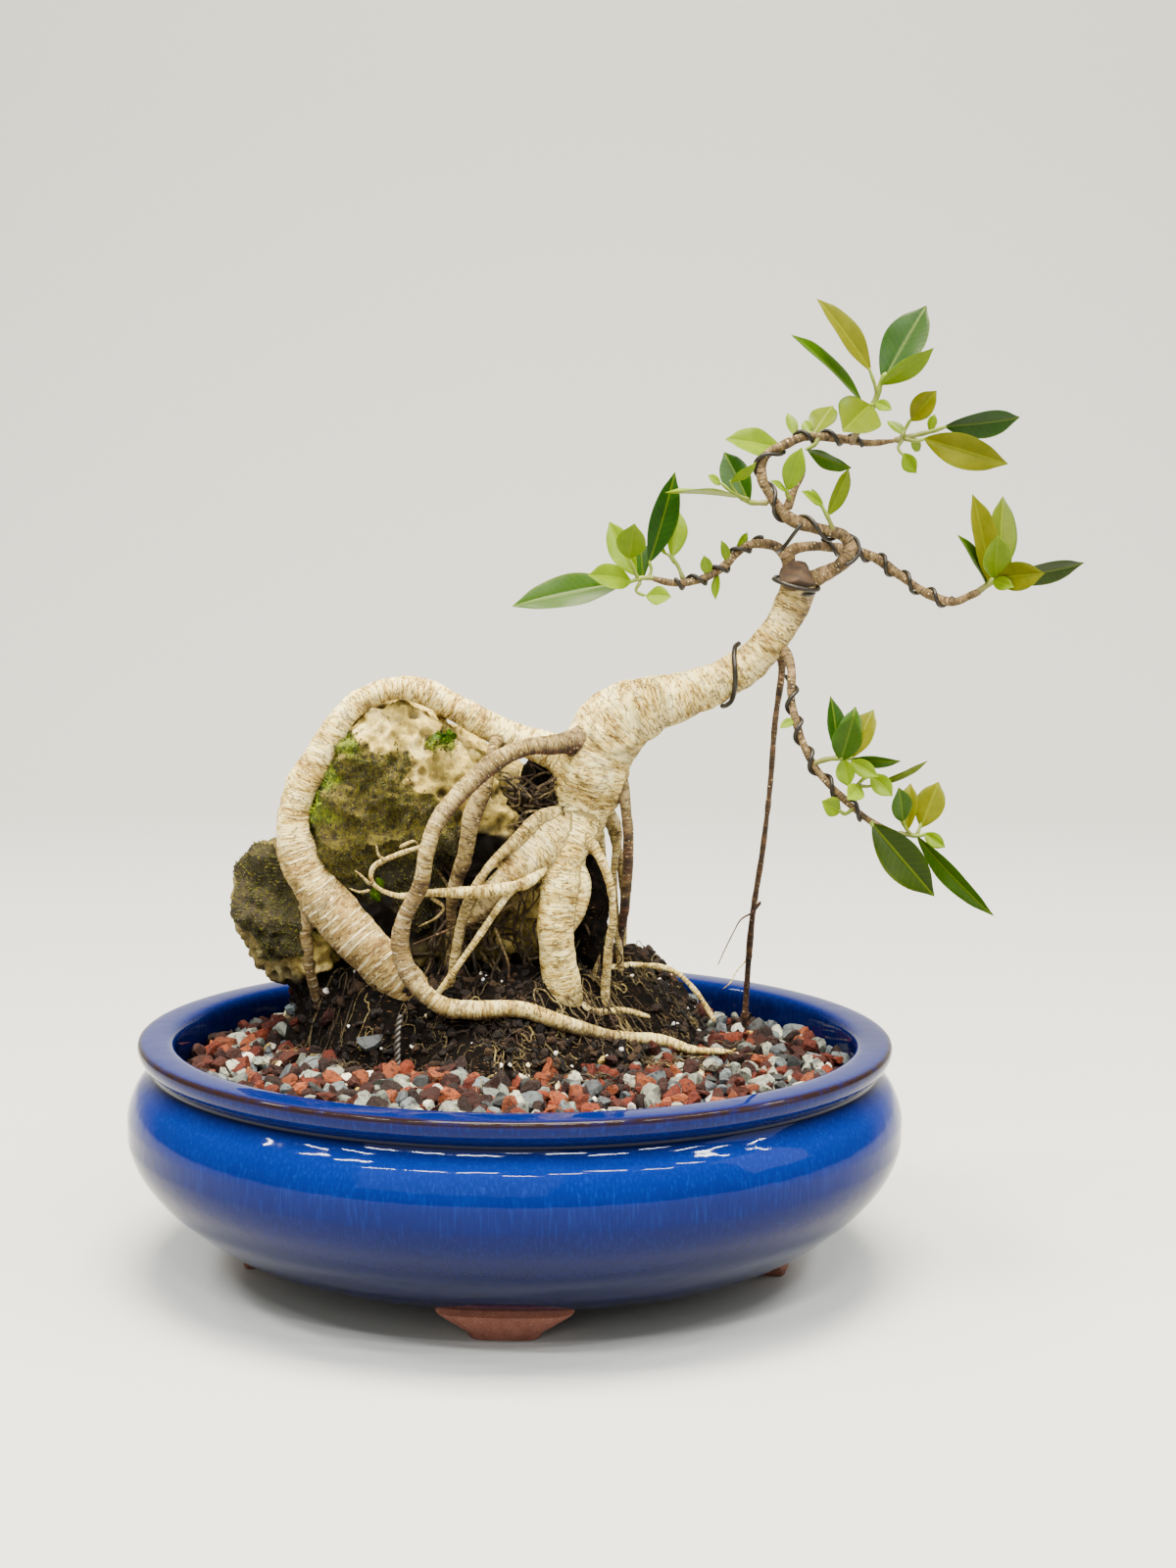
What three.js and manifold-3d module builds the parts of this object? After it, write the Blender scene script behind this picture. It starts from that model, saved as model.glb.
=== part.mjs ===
// Tiger bark ficus grown over a limestone rock, in a glazed oval pot.
// Millimetres, +Z up. Every place below is counted from the middle of the pot at the height of the table,
// with +X to the right and +Y to the back. The finished group is then moved so that its origin lies under
// the middle of its box, because the crown leans out past the pot.
import * as THREE from 'three';
import { mergeVertices } from 'three/addons/utils/BufferGeometryUtils.js';
import Module from 'manifold-3d';

const wasm = await Module();
wasm.setup();

// Driving dimensions of the pot
const RIM_HALF_LENGTH = 155;
const RIM_HALF_WIDTH = 124;
const FOOT_HEIGHT = 10;
const FLOOR_TOP = 18;
const POT_SIDES = 32;
const DRAIN_RADIUS = 10;
const DRAIN_SPACING = 90;
const SCREEN_SIZE = 32;
const SCREEN_THICKNESS = 1.4;

// What pieces that touch leave between them, and what a hole leaves round a root
const GAP = 0.3;
const HOLE_GAP = 0.4;

// Heights of the filling, and the mound that the root ball makes in it
const SOIL_LEVEL = 82;
const GRAVEL_LEVEL = 86.5;
const MOUND_HEIGHT = 40;
const MOUND_CENTRE = [-6, 32];
// Distance of the mound's foot from its centre, every 30 degrees from the right round by the back
const MOUND_REACH = [92, 100, 76, 68, 74, 90, 97, 80, 65, 67, 66, 74];
const STONE_RADIUS = 8;
const STONE_SPACING = 18.5;

// Leaves and wires
const BLADE_THICKNESS = 0.8;
const BLADE_FOLD = 0.3;
const NECK_WIDTH = 1.1;
const TWIG_WIRE = 1;
const TRUNK_WIRE = 1.2;

// Wall of the pot, as [height, offset from the rim's outline]
const POT_OUTSIDE = [
  [10, -47], [14, -36], [21, -24.5], [29, -15], [38, -5.6], [49, 2], [60, 5.4], [71, 5],
  [80, 1.5], [86, -3.6], [88.5, -5], [90.5, -4], [93, -1], [97, 0.6], [100, 0],
];
const POT_INSIDE = [[18, -54], [26, -34], [42, -15], [64, -7], [88, -14], [97, -14.5], [100, -12]];

// Trunk and roots, grown as one piece. A limb is a list of [x, y, z, radius], and a smooth line runs
// through it.
const WOOD = {
  trunk: [
    [25, 14, 174, 8], [27, 14, 192, 11.5], [30, 12, 207, 15], [34, 12, 219, 15], [42, 11, 229, 14.5],
    [53, 10, 236, 12.5], [70, 9, 241, 9.5], [86, 9, 248, 8.5], [97, 9, 256, 7.5], [105, 8, 266, 7],
    [111, 8, 277, 7], [114, 8, 285, 7.5], [115, 8, 293, 7],
  ],
  archingRoot: [
    [25, 14, 211, 8.5], [11, 15, 217, 7], [-9, 15, 224, 6.5], [-23, 13, 232, 6], [-37, 12, 240, 5.5],
    [-49, 11, 242, 5], [-61, 10, 239, 5], [-71, 9, 231, 5.5], [-82, 7, 213, 6.5], [-90, 5, 198, 7],
    [-92, 4, 182, 7.5], [-88, 3, 168, 9], [-79, 2, 154, 10], [-66, 0, 140, 10], [-54, -2, 128, 10],
    [-42, 0, 114, 9], [-34, 5, 100, 8], [-28, 10, 90, 6],
  ],
  runningRoot: [
    [25, 4, 214, 5], [15, -4, 221, 4.5], [6, -9, 221, 4], [-5, -13, 217, 4], [-18, -17, 207, 4],
    [-30, -21, 193, 3.5], [-35, -23, 179, 3.5], [-37, -22, 167, 3.5], [-44, -20, 152, 3.5],
    [-46, -19, 140, 4], [-41, -19, 126, 4], [-29, -20, 116, 4], [-16, -19, 114, 4], [2, -17, 114, 3.5],
    [20, -15, 108, 3.5], [40, -5, 100, 3], [61, 7, 95, 3], [74, 6, 91.5, 2], [90, 9, 90, 1.5],
  ],
  leg: [
    [26, 10, 188, 9], [21, 4, 176, 8.5], [18, 1, 163, 8], [16, -1, 149, 7.5], [17, -1, 135, 7.5],
    [19, 1, 119, 8.5], [20, 5, 104, 8], [20, 8, 92, 6],
  ],
  legLobe: [[25, 3, 171, 4.5], [27, 2, 160, 4], [26, 1, 151, 3], [23, 1, 143, 1.5]],
  rightFrontRoot: [
    [24, 4, 186, 3], [32, 1, 178, 2.5], [38, 0, 165, 2], [40, 2, 149, 2], [38, 5, 133, 2],
    [37, 9, 112, 2.5], [37, 10, 98, 2],
  ],
  rightOuterRoot: [
    [33, 12, 212, 4], [42, 10, 206, 3], [45, 9, 192, 2.5], [46, 12, 174, 2.5], [45, 19, 152, 2.5],
    [43, 26, 135, 2], [40, 34, 112, 2],
  ],
  rightInnerRoot: [[34, 18, 197, 3], [41, 22, 183, 2], [40, 23, 161, 1.5], [44, 27, 114, 1.5]],
  slimRoot: [[32, 16, 189, 2.5], [35, 20, 176, 1.5], [35, 23, 157, 1.5], [32, 22, 112, 1.5]],
  rootStub: [
    [23, 9, 186, 8.5], [14, 3, 179, 8.5], [5, -2, 172, 7.5], [-4, -6, 165, 6], [-13, -8, 156, 4.5],
    [-21, -8, 147, 3],
  ],
  strapRoot: [
    [18, 8, 191, 3.5], [10, 2, 191, 2.5], [-1, -5, 181, 2.5], [-11, -10, 171, 2], [-18, -12, 160, 2],
    [-22, -9, 147, 2.5], [-28, -3, 115, 2],
  ],
  levelRoot: [
    [13, 0, 173, 3], [6, -9, 166, 2.5], [-6, -14, 163, 2.5], [-22, -16, 162, 2.5], [-33, -17, 162, 1.5],
    [-48, -18, 161, 1], [-57, -18, 166, 1], [-57, -18, 172, 1], [-49, -19, 177, 1], [-36, -21, 182, 1],
  ],
  braceRoot: [
    [2, -7, 166, 2], [-4, -12, 159, 1.5], [-16, -12, 141, 1.3], [-35, -9, 113, 1.3],
    [-42, -5, 101, 1.3],
  ],
  hangingRoot: [
    [-8, 14, 223, 3.5], [-10, 4, 217, 2.5], [-13, -1, 203, 3.5], [-18, -2, 191, 4], [-21, -1, 175, 3.5],
    [-26, 3, 159, 3], [-28, 10, 142, 2], [-30, 16, 112, 2],
  ],
  leftPropRoot: [
    [-83, 2, 158, 5], [-87, 1, 146, 3], [-87, 3, 133, 3], [-85, 11, 113, 2.5], [-81, 19, 98, 2.5],
  ],
  backLeftRoot: [
    [-25, 16, 233, 4.5], [-38, 40, 228, 4.5], [-52, 60, 204, 4], [-58, 72, 170, 4], [-64, 74, 104, 4],
  ],
  backMiddleRoot: [[25, 24, 201, 7], [24, 50, 186, 5], [20, 70, 154, 4], [18, 72, 104, 4]],
  backRightRoot: [[31, 24, 196, 5], [39, 42, 179, 2.5], [44, 56, 150, 2], [44, 64, 106, 2]],
  aerialRoot: [
    [107, 8, 260, 2.5], [108, 9, 252, 1.5], [106, 14, 229, 1.2], [105, 21, 202, 1.2], [103, 31, 172, 1.2],
    [100, 42, 142, 1.3], [99, 53, 115, 1.4], [98, 60, 78, 1.4],
  ],
  frontSideRoot: [[18, 2, 118, 3], [22, 4, 114, 2], [32, 1, 109, 1.6], [45, 10, 107, 1.4], [56, 15, 103, 1]],
  rightSideRoot: [
    [38, 24, 122, 1.6], [52, 34, 121, 1.3], [66, 32, 119, 1.2], [76, 30, 110, 1.2], [84, 27, 98, 1],
  ],
};

// Branches of the same piece
const BRANCHES = {
  left: [
    [111, 10, 287, 3], [109, 12, 296, 2.5], [105, 12, 301, 2], [94, 8, 302, 1.8], [88, 6, 298, 1.7],
    [83, 4, 293, 1.7], [73, -1, 288, 1.6], [63, -5, 287, 1.4], [54, -8, 289, 1],
  ],
  crown: [
    [115, 10, 286, 4.5], [123, 7, 290, 3.5], [130, 4, 294, 3], [134, 2, 300, 3], [131, 1, 306, 2.5],
    [120, 1, 309, 2.5], [109, 1, 313, 2.4], [102, 3, 321, 2], [98, 4, 329, 2], [99, 5, 337, 2],
    [107, 7, 342, 2], [115, 10, 345, 1.8], [127, 13, 345, 1.7], [141, 16, 343, 1.4], [153, 19, 344, 1],
  ],
  spur: [[108, 2, 316, 2], [111, 3, 324, 1.5], [114, 4, 330, 1.1], [115, 5, 335, 0.9]],
  right: [
    [110, 13, 293, 3], [111, 16, 299, 2.5], [118, 18, 301, 2], [133, 22, 300, 2], [145, 22, 297, 2],
    [157, 20, 289, 1.8], [168, 18, 282, 1.8], [178, 16, 279, 1.7], [185, 14, 282, 1.5], [189, 13, 284, 1.3],
  ],
  hanging: [
    [108, 5, 261, 2.5], [111, 0, 253, 1.8], [111, -6, 241, 1.6], [114, -11, 228, 1.5], [120, -16, 215, 1.5],
    [130, -19, 204, 1.5], [142, -20, 194, 1.3], [155, -20, 188, 0.9],
  ],
};

// Tiny leaves that sit straight on a twig, as [base], [tip], width, turn about the rib in degrees
const TWIG_LEAVES = [
  [[77, 1, 290], [75, -2, 298], 5, 0], [[85, 5, 295], [82, 0, 304], 4, 10],
  [[88, 6, 299], [93, 10, 307], 4, 30], [[81, 3, 291], [80, 0, 280], 4, 30],
  [[112, -9, 233], [106, -14, 230], 4, 10],
];

// Leafy shoots. Each has soft green stems, given as limbs, and leaves, given as the tiny leaves above are.
const SHOOTS = {
  left_tip: {
    stems: [
      [[56, -7, 289, 1], [50, -9, 289, 1], [44, -10, 287, 0.8]],
      [[49, -9, 288, 0.8], [47, -11, 293, 0.7], [45, -12, 297, 0.6]],
      [[52, -8, 288, 0.8], [54, -7, 292, 0.7], [53, -7, 296, 0.6]],
      [[50, -9, 288, 0.8], [48, -10, 284, 0.7], [52, -10, 282, 0.6]],
    ],
    leaves: [
      [[43, -10, 287], [-1, -20, 278], 15, 20], [[46, -10, 288], [29, -26, 291], 11, 10],
      [[45, -12, 297], [47, -20, 311], 12, 0], [[48, -10, 290], [37, 2, 311], 11, -25],
      [[51, -8, 289], [50, 8, 301], 12, -40], [[53, -7, 295], [63, -2, 331], 12, 25],
      [[52, -10, 282], [62, -14, 282], 8, -10],
    ],
  },
  left_middle: {
    stems: [
      [[67, -3, 288, 1], [65, -2, 293, 0.8], [62, -1, 298, 0.6]],
      [[64, -1, 294, 0.7], [60, -2, 299, 0.5]],
    ],
    leaves: [[[62, -1, 297], [64, 10, 317], 11, 35], [[60, -2, 298], [56, -5, 302], 3, 40]],
  },
  upper_left: {
    stems: [
      [[101, 2, 319, 1.2], [94, 1, 319, 1.1], [89, -2, 321, 0.9]],
      [[93, 0, 320, 0.8], [86, -5, 323, 0.7], [81, -6, 327, 0.6]],
      [[88, -3, 322, 0.7], [86, -4, 325, 0.6], [85, -4, 328, 0.6]],
    ],
    leaves: [
      [[90, -2, 321], [59, -14, 323], 12, 75], [[93, 0, 319], [83, 10, 339], 12, -15],
      [[85, -4, 327], [95, -10, 335], 5, 50], [[81, -6, 326], [76, -7, 330], 4, 20],
    ],
  },
  crown_low: {
    stems: [[[127, 0, 308, 1], [124, -2, 314, 0.9], [121, -3, 319, 0.7]]],
    leaves: [
      [[124, -2, 314], [133, 6, 333], 8, 35], [[122, -3, 318], [113, -10, 324], 5, 20],
      [[122, -3, 317], [118, 3, 325], 4, 60],
    ],
  },
  spur: {
    stems: [[[111, 3, 320, 1], [108, 0, 322, 0.9], [108, -1, 325, 0.7]]],
    leaves: [[[108, -1, 324], [113, -6, 341], 9, -10], [[108, -1, 323], [101, -5, 328], 4, 35]],
  },
  crown_middle: {
    stems: [
      [[121, 12, 345, 1.1], [119, 7, 342, 0.9], [115, 5, 340, 0.7]],
      [[121, 13, 345, 1], [117, 16, 347, 0.9], [111, 16, 345, 0.7]],
      [[113, 16, 345, 0.7], [109, 14, 342, 0.6], [106, 13, 340, 0.6]],
    ],
    leaves: [
      [[107, 13, 340], [83, 4, 344], 13, 20], [[116, 5, 340], [133, -5, 333], 9, 60],
      [[112, 16, 345], [109, 22, 355], 5, 15], [[118, 16, 347], [116, 20, 352], 5, -20],
      [[119, 15, 346], [128, 29, 358], 11, -20],
    ],
  },
  crown_top: {
    stems: [
      [[134, 14, 342, 1.6], [139, 12, 352, 1.5], [143, 10, 359, 1.4], [145, 9, 366, 1.2], [147, 8, 371, 1]],
      [[140, 12, 354, 0.8], [139, 10, 357, 0.7], [138, 9, 360, 0.6]],
      [[144, 9, 362, 0.8], [142, 8, 368, 0.7], [140, 8, 373, 0.6]],
      [[143, 10, 358, 0.8], [141, 5, 358, 0.7]],
    ],
    leaves: [
      [[138, 9, 359], [108, -2, 385], 13, 50], [[141, 8, 371], [118, 0, 399], 14, 35],
      [[146, 9, 367], [164, 20, 398], 17, -15], [[145, 8, 366], [164, -6, 380], 9, 40],
      [[141, 6, 358], [128, -16, 347], 19, 0], [[143, 8, 359], [149, 0, 356], 5, 10],
    ],
  },
  crown_right: {
    stems: [
      [[152, 19, 344, 1.2], [160, 21, 346, 1.1], [168, 22, 348, 1], [174, 22, 350, 0.8]],
      [[155, 19, 345, 0.9], [157, 20, 349, 0.8], [159, 18, 353, 0.6]],
      [[156, 20, 345, 0.9], [161, 17, 344, 0.8], [165, 16, 345, 0.6]],
      [[156, 20, 345, 0.9], [154, 18, 341, 0.7], [156, 16, 338, 0.6]],
    ],
    leaves: [
      [[159, 18, 352], [168, 12, 364], 10, -10], [[164, 16, 345], [196, 2, 335], 14, 25],
      [[173, 22, 350], [205, 30, 354], 13, 45], [[156, 16, 339], [161, 13, 331], 7, 35],
      [[157, 19, 346], [150, 26, 352], 5, 20], [[167, 22, 348], [169, 23, 355], 4, 0],
      [[159, 20, 345], [164, 27, 340], 5, 0],
    ],
  },
  right_tip: {
    stems: [[[187, 13, 283, 1.3], [193, 12, 288, 1.5], [196, 12, 291, 1.2]]],
    leaves: [
      [[192, 12, 287], [183, 8, 323], 14, 30], [[195, 13, 289], [198, 24, 322], 13, 15],
      [[194, 11, 289], [192, -2, 307], 12, 0], [[191, 12, 286], [177, 4, 307], 9, 50],
      [[194, 11, 289], [211, -4, 292], 12, 15], [[195, 13, 289], [233, 26, 295], 11, 45],
      [[193, 11, 288], [200, 2, 286], 6, 10],
    ],
  },
  hanging_upper: {
    stems: [[[118, -15, 215, 1.2], [124, -18, 218, 1.1], [131, -20, 219, 1], [135, -21, 219, 0.8]]],
    leaves: [
      [[130, -20, 218], [134, -28, 237], 12, 0], [[129, -19, 218], [126, -12, 243], 10, 35],
      [[132, -20, 218], [136, -14, 239], 10, -20], [[134, -21, 219], [143, -16, 238], 12, -30],
      [[131, -20, 219], [133, -24, 208], 8, 20], [[134, -21, 219], [153, -28, 219], 6, 45],
      [[134, -21, 218], [144, -30, 213], 7, 15],
    ],
  },
  hanging_middle: {
    stems: [
      [[133, -19, 202, 1], [136, -21, 207, 0.9], [139, -22, 211, 0.8], [143, -22, 213, 0.7]],
      [[137, -21, 208, 0.8], [141, -22, 208, 0.7], [145, -22, 209, 0.6]],
    ],
    leaves: [
      [[142, -22, 213], [150, -28, 205], 8, 10], [[144, -22, 209], [165, -18, 218], 5, 55],
      [[138, -22, 208], [132, -31, 204], 8, 0],
    ],
  },
  hanging_left: {
    stems: [[[136, -19, 199, 1], [132, -23, 197, 0.8], [129, -25, 199, 0.7]]],
    leaves: [[[130, -24, 198], [122, -29, 203], 8, 0]],
  },
  hanging_big: {
    stems: [[[143, -19, 194, 1.2], [143, -23, 192, 0.9]]],
    leaves: [[[143, -22, 193], [167, -33, 166], 16, 15]],
  },
  hanging_tip: {
    stems: [
      [[153, -20, 189, 1.1], [162, -20, 188, 0.9], [165, -20, 189, 0.8]],
      [[159, -20, 188, 0.8], [156, -21, 192, 0.7], [155, -22, 196, 0.6]],
      [[161, -20, 188, 0.8], [162, -19, 190, 0.7], [163, -18, 193, 0.6]],
    ],
    leaves: [
      [[155, -22, 194], [152, -30, 209], 9, 10], [[157, -21, 190], [159, -12, 208], 9, -30],
      [[163, -18, 191], [170, -14, 209], 12, -10], [[164, -20, 189], [172, -24, 184], 6, 10],
      [[161, -20, 188], [191, -32, 158], 10, 45],
    ],
  },
};

// Training wires: the limb they wind on, the stretch of it from 0 to 1, turns (negative winds the other
// way), starting angle in degrees, radius
const WIRES = {
  trunk: [WOOD.trunk, 0.6, 0.735, -0.6, 283, TRUNK_WIRE],
  left: [BRANCHES.left, 0.3, 0.88, 4, 245, TWIG_WIRE],
  crown: [BRANCHES.crown, 0.14, 0.66, 3.4, 195, TWIG_WIRE],
  right: [BRANCHES.right, 0.22, 0.84, 5, 90, TWIG_WIRE],
  hanging: [BRANCHES.hanging, 0.12, 0.82, 5, 278, TWIG_WIRE],
};
const ANCHOR_WIRE = [[-47, -21, 70, 1.5], [-47, -22, 92, 1.5], [-47, -21, 104, 1.5], [-46, -19, 112, 1.5]];

// The rock, as level sections: [height, left, right, front at the left, front at the right, back]
const ROCK_BODY = [
  [100, -70, 26, 30, 36, 70], [118, -78, 36, 26, 35, 76], [138, -86, 36, 15, 32, 78],
  [155, -88, 18, 9, 27, 78], [169, -87, -8, 5, 14, 76], [180, -85, 2, 3, 1, 72], [192, -83, 2, 2, 2, 68],
  [205, -80, -8, 3, 4, 62], [217, -75, -22, 5, 7, 54], [227, -69, -33, 7, 9, 46],
  [234, -62, -41, 10, 13, 36],
];
const ROCK_LOBE = [
  [118, -104, -80, 14, 16, 44], [126, -112, -76, 8, 8, 50], [138, -120, -74, 5, 4, 54],
  [152, -121, -76, 4, 4, 54], [164, -117, -78, 8, 8, 50], [173, -106, -86, 16, 16, 40],
];
const ROCK_ROUGHNESS = 2;

// Small helpers

const vec = (x, y, z) => new THREE.Vector3(x, y, z);

// Repeatable random numbers between 0 and 1
function makeRandom(seed) {
  let state = seed;
  return () => {
    state = (Math.imul(state, 1664525) + 1013904223) >>> 0;
    return state / 4294967296;
  };
}

// A closed geometry as a solid that can be cut and joined
function solidOf(geometry) {
  const bare = geometry.clone();
  bare.deleteAttribute('normal');
  bare.deleteAttribute('uv');
  const merged = mergeVertices(bare, 1e-4);
  const mesh = new wasm.Mesh({
    numProp: 3,
    vertProperties: Float32Array.from(merged.attributes.position.array),
    triVerts: Uint32Array.from(merged.index.array),
  });
  return new wasm.Manifold(mesh);
}

function solidFromLists(points, triangles) {
  const geometry = new THREE.BufferGeometry();
  geometry.setAttribute('position', new THREE.Float32BufferAttribute(points.flat(), 3));
  geometry.setIndex(triangles.flat());
  return solidOf(geometry);
}

function geometryOf(solid) {
  const mesh = solid.getMesh();
  const geometry = new THREE.BufferGeometry();
  geometry.setAttribute('position', new THREE.Float32BufferAttribute(Array.from(mesh.vertProperties), 3));
  geometry.setIndex(Array.from(mesh.triVerts));
  return geometry.toNonIndexed();
}

const unite = (solids) => wasm.Manifold.union(solids);

// The one body that stays when a cut leaves crumbs beside it
function largestBody(solid) {
  const bodies = solid.decompose();
  return bodies.reduce((best, body) => (body.volume() > best.volume() ? body : best));
}

// Rings with the same number of corners, joined side by side and closed by a flat fan at each end
function skinRings(rings) {
  const sides = rings[0].length;
  const triangles = [];
  for (let i = 0; i + 1 < rings.length; i += 1) {
    for (let k = 0; k < sides; k += 1) {
      const a = i * sides + k;
      const b = i * sides + ((k + 1) % sides);
      triangles.push([a, b, a + sides], [b, b + sides, a + sides]);
    }
  }
  const last = (rings.length - 1) * sides;
  for (let k = 1; k + 1 < sides; k += 1) {
    triangles.push([0, k + 1, k], [last, last + k, last + k + 1]);
  }
  return solidFromLists(rings.flat(), triangles);
}

// Limbs

// Places along a limb, about one step apart, each with its direction and radius
function limbLine(limb, step) {
  const curve = new THREE.CatmullRomCurve3(limb.map(([x, y, z]) => vec(x, y, z)), false, 'centripetal');
  const pieces = limb.length - 1;
  const places = [];
  for (let i = 0; i < pieces; i += 1) {
    const span = vec(...limb[i]).distanceTo(vec(...limb[i + 1]));
    const count = Math.max(1, Math.round(span / step));
    for (let k = 0; k < count; k += 1) {
      places.push((i + k / count) / pieces);
    }
  }
  places.push(1);
  return places.map((t) => {
    const at = Math.min(t * pieces, pieces - 1e-9);
    const i = Math.floor(at);
    const radius = limb[i][3] + (limb[i + 1][3] - limb[i][3]) * (at - i);
    return { point: curve.getPoint(t), along: curve.getTangent(t), radius };
  });
}

// Two directions square to the line, carried along it without twisting
function carryFrames(line) {
  let side = Math.abs(line[0].along.y) < 0.9 ? vec(0, 1, 0) : vec(1, 0, 0);
  return line.map(({ along }) => {
    side = side.clone().addScaledVector(along, -side.dot(along)).normalize();
    return [side, along.clone().cross(side)];
  });
}

// The solid of a limb. Its flat sides cut as much off the round as its corners add.
// For a hole it is made fatter by grow, and longer by it at both ends.
function sweepLimb(limb, sides, step, grow = 0) {
  const line = limbLine(limb, step);
  const frames = carryFrames(line);
  const fit = 1 / Math.sqrt(Math.cos(Math.PI / sides));
  const rings = line.map(({ point, along, radius }, i) => {
    const [side, up] = frames[i];
    const end = i === 0 ? -1 : Number(i === line.length - 1);
    const reach = radius * fit + grow;
    return Array.from({ length: sides }, (unused, k) => {
      const angle = (2 * Math.PI * k) / sides;
      const corner = point.clone().addScaledVector(along, end * grow);
      corner.addScaledVector(side, Math.cos(angle) * reach).addScaledVector(up, Math.sin(angle) * reach);
      return corner.toArray();
    });
  });
  return skinRings(rings);
}

// Sides and step that suit the thickness of a limb
function limbMesh(limb) {
  const thickest = Math.max(...limb.map((row) => row[3]));
  if (thickest > 9) {
    return [10, 15];
  }
  if (thickest > 4.1) {
    return [7, 14];
  }
  return thickest > 1.7 ? [5, 17] : [4, 18];
}

const limbSolid = (limb, grow = 0) => sweepLimb(limb, ...limbMesh(limb), grow);

// Leaves

// A blade folded a little along its rib and arched towards its tip. It is a row of thin six-cornered
// sections: a neck inside the stem's end, two or three across the blade, and a point at each end.
function leafSolid([base, tip, width, turn]) {
  const foot = vec(...base);
  const along = vec(...tip).sub(foot);
  const length = along.length();
  along.normalize();
  const facing = vec(0, -1, 0.25).addScaledVector(along, -vec(0, -1, 0.25).dot(along)).normalize();
  facing.applyAxisAngle(along, THREE.MathUtils.degToRad(turn));
  const across = along.clone().cross(facing);
  const place = (t, sideways, lift) => {
    const arch = Math.sin(Math.PI * t) * 0.05 * length;
    const fold = (Math.abs(sideways) - width * 0.25 * Math.sin(Math.PI * t)) * BLADE_FOLD;
    const corner = foot.clone().addScaledVector(along, t * length).addScaledVector(across, sideways);
    return corner.addScaledVector(facing, lift + arch + fold).toArray();
  };
  const wide = width < 12.5 ? [[0.32, 0.92], [0.7, 0.88]] : [[0.2, 0.66], [0.5, 1], [0.8, 0.7]];
  const blade = width < 9 ? [[0.5, 1]] : wide;
  const sections = [[0.04, NECK_WIDTH / width], ...blade];
  const half = BLADE_THICKNESS / 2;
  const points = [place(-1.4 / length, 0, 0), place(1, 0, 0)];
  sections.forEach(([t, share], i) => {
    const thick = i === 0 ? NECK_WIDTH / 2 : half;
    [-1, 0, 1].forEach((k) => points.push(place(t, (k * share * width) / 2, thick)));
    [1, 0, -1].forEach((k) => points.push(place(t, (k * share * width) / 2, -thick)));
  });
  const triangles = [];
  const last = 2 + (sections.length - 1) * 6;
  for (let k = 0; k < 6; k += 1) {
    const next = (k + 1) % 6;
    triangles.push([0, 2 + next, 2 + k], [1, last + k, last + next]);
    for (let row = 2; row < last; row += 6) {
      triangles.push([row + k, row + next, row + 6 + k], [row + next, row + 6 + next, row + 6 + k]);
    }
  }
  return solidFromLists(points, triangles);
}

const shootSolid = ({ stems, leaves }) =>
  unite([...stems.map((stem) => sweepLimb(stem, 3, 12)), ...leaves.map(leafSolid)]);

// Wires

// A wire wound on a limb: it runs round the limb's line at a radius that clears the bark
function windWire([limb, from, to, turns, startAngle, wireRadius]) {
  const stepsPerTurn = 7;
  const line = limbLine(limb, 3);
  const frames = carryFrames(line);
  const count = Math.round(Math.abs(turns) * stepsPerTurn);
  const rows = Array.from({ length: count + 1 }, (unused, n) => {
    const at = (from + ((to - from) * n) / count) * (line.length - 1);
    const i = Math.min(Math.floor(at), line.length - 2);
    const share = at - i;
    const centre = line[i].point.clone().lerp(line[i + 1].point, share);
    const side = frames[i][0].clone().lerp(frames[i + 1][0], share);
    const up = frames[i][1].clone().lerp(frames[i + 1][1], share);
    const reach = line[i].radius * 1.1 + wireRadius * 1.2 + GAP * 2.6;
    const angle = THREE.MathUtils.degToRad(startAngle) + (2 * Math.PI * turns * n) / count;
    centre.addScaledVector(side, Math.cos(angle) * reach).addScaledVector(up, Math.sin(angle) * reach);
    return [...centre.toArray(), wireRadius];
  });
  return sweepLimb(rows, 4, 100);
}

// Pot

function ovalRing(height, offset, sides = POT_SIDES) {
  return Array.from({ length: sides }, (unused, k) => {
    const angle = (2 * Math.PI * k) / sides;
    const x = Math.cos(angle) * (RIM_HALF_LENGTH + offset);
    const y = Math.sin(angle) * (RIM_HALF_WIDTH + offset);
    return [x, y, height];
  });
}

// A foot with curved ends, from the underside of the pot down to the table
function footSolid(middle) {
  const levels = [
    [0, 13, -41, -53], [3, 15, -40, -54], [7, 22, -39, -56], [10, 27, -38.5, -57], [13, 29, -42, -58],
  ];
  const steps = 4;
  const rings = levels.map(([height, halfLength, outer, inner]) => {
    const arc = (offset, n) => {
      const radius = Math.abs(Math.sin(middle)) > 0.5 ? RIM_HALF_LENGTH + outer : RIM_HALF_WIDTH + outer;
      const angle = middle + (halfLength / radius) * ((2 * n) / steps - 1);
      const x = Math.cos(angle) * (RIM_HALF_LENGTH + offset);
      return [x, Math.sin(angle) * (RIM_HALF_WIDTH + offset), height];
    };
    const outside = Array.from({ length: steps + 1 }, (unused, n) => arc(outer, n));
    const inside = Array.from({ length: steps + 1 }, (unused, n) => arc(inner, steps - n));
    return [...outside, ...inside];
  });
  return skinRings(rings);
}

function drainPlace(side) {
  return (side * DRAIN_SPACING) / 2;
}

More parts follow.
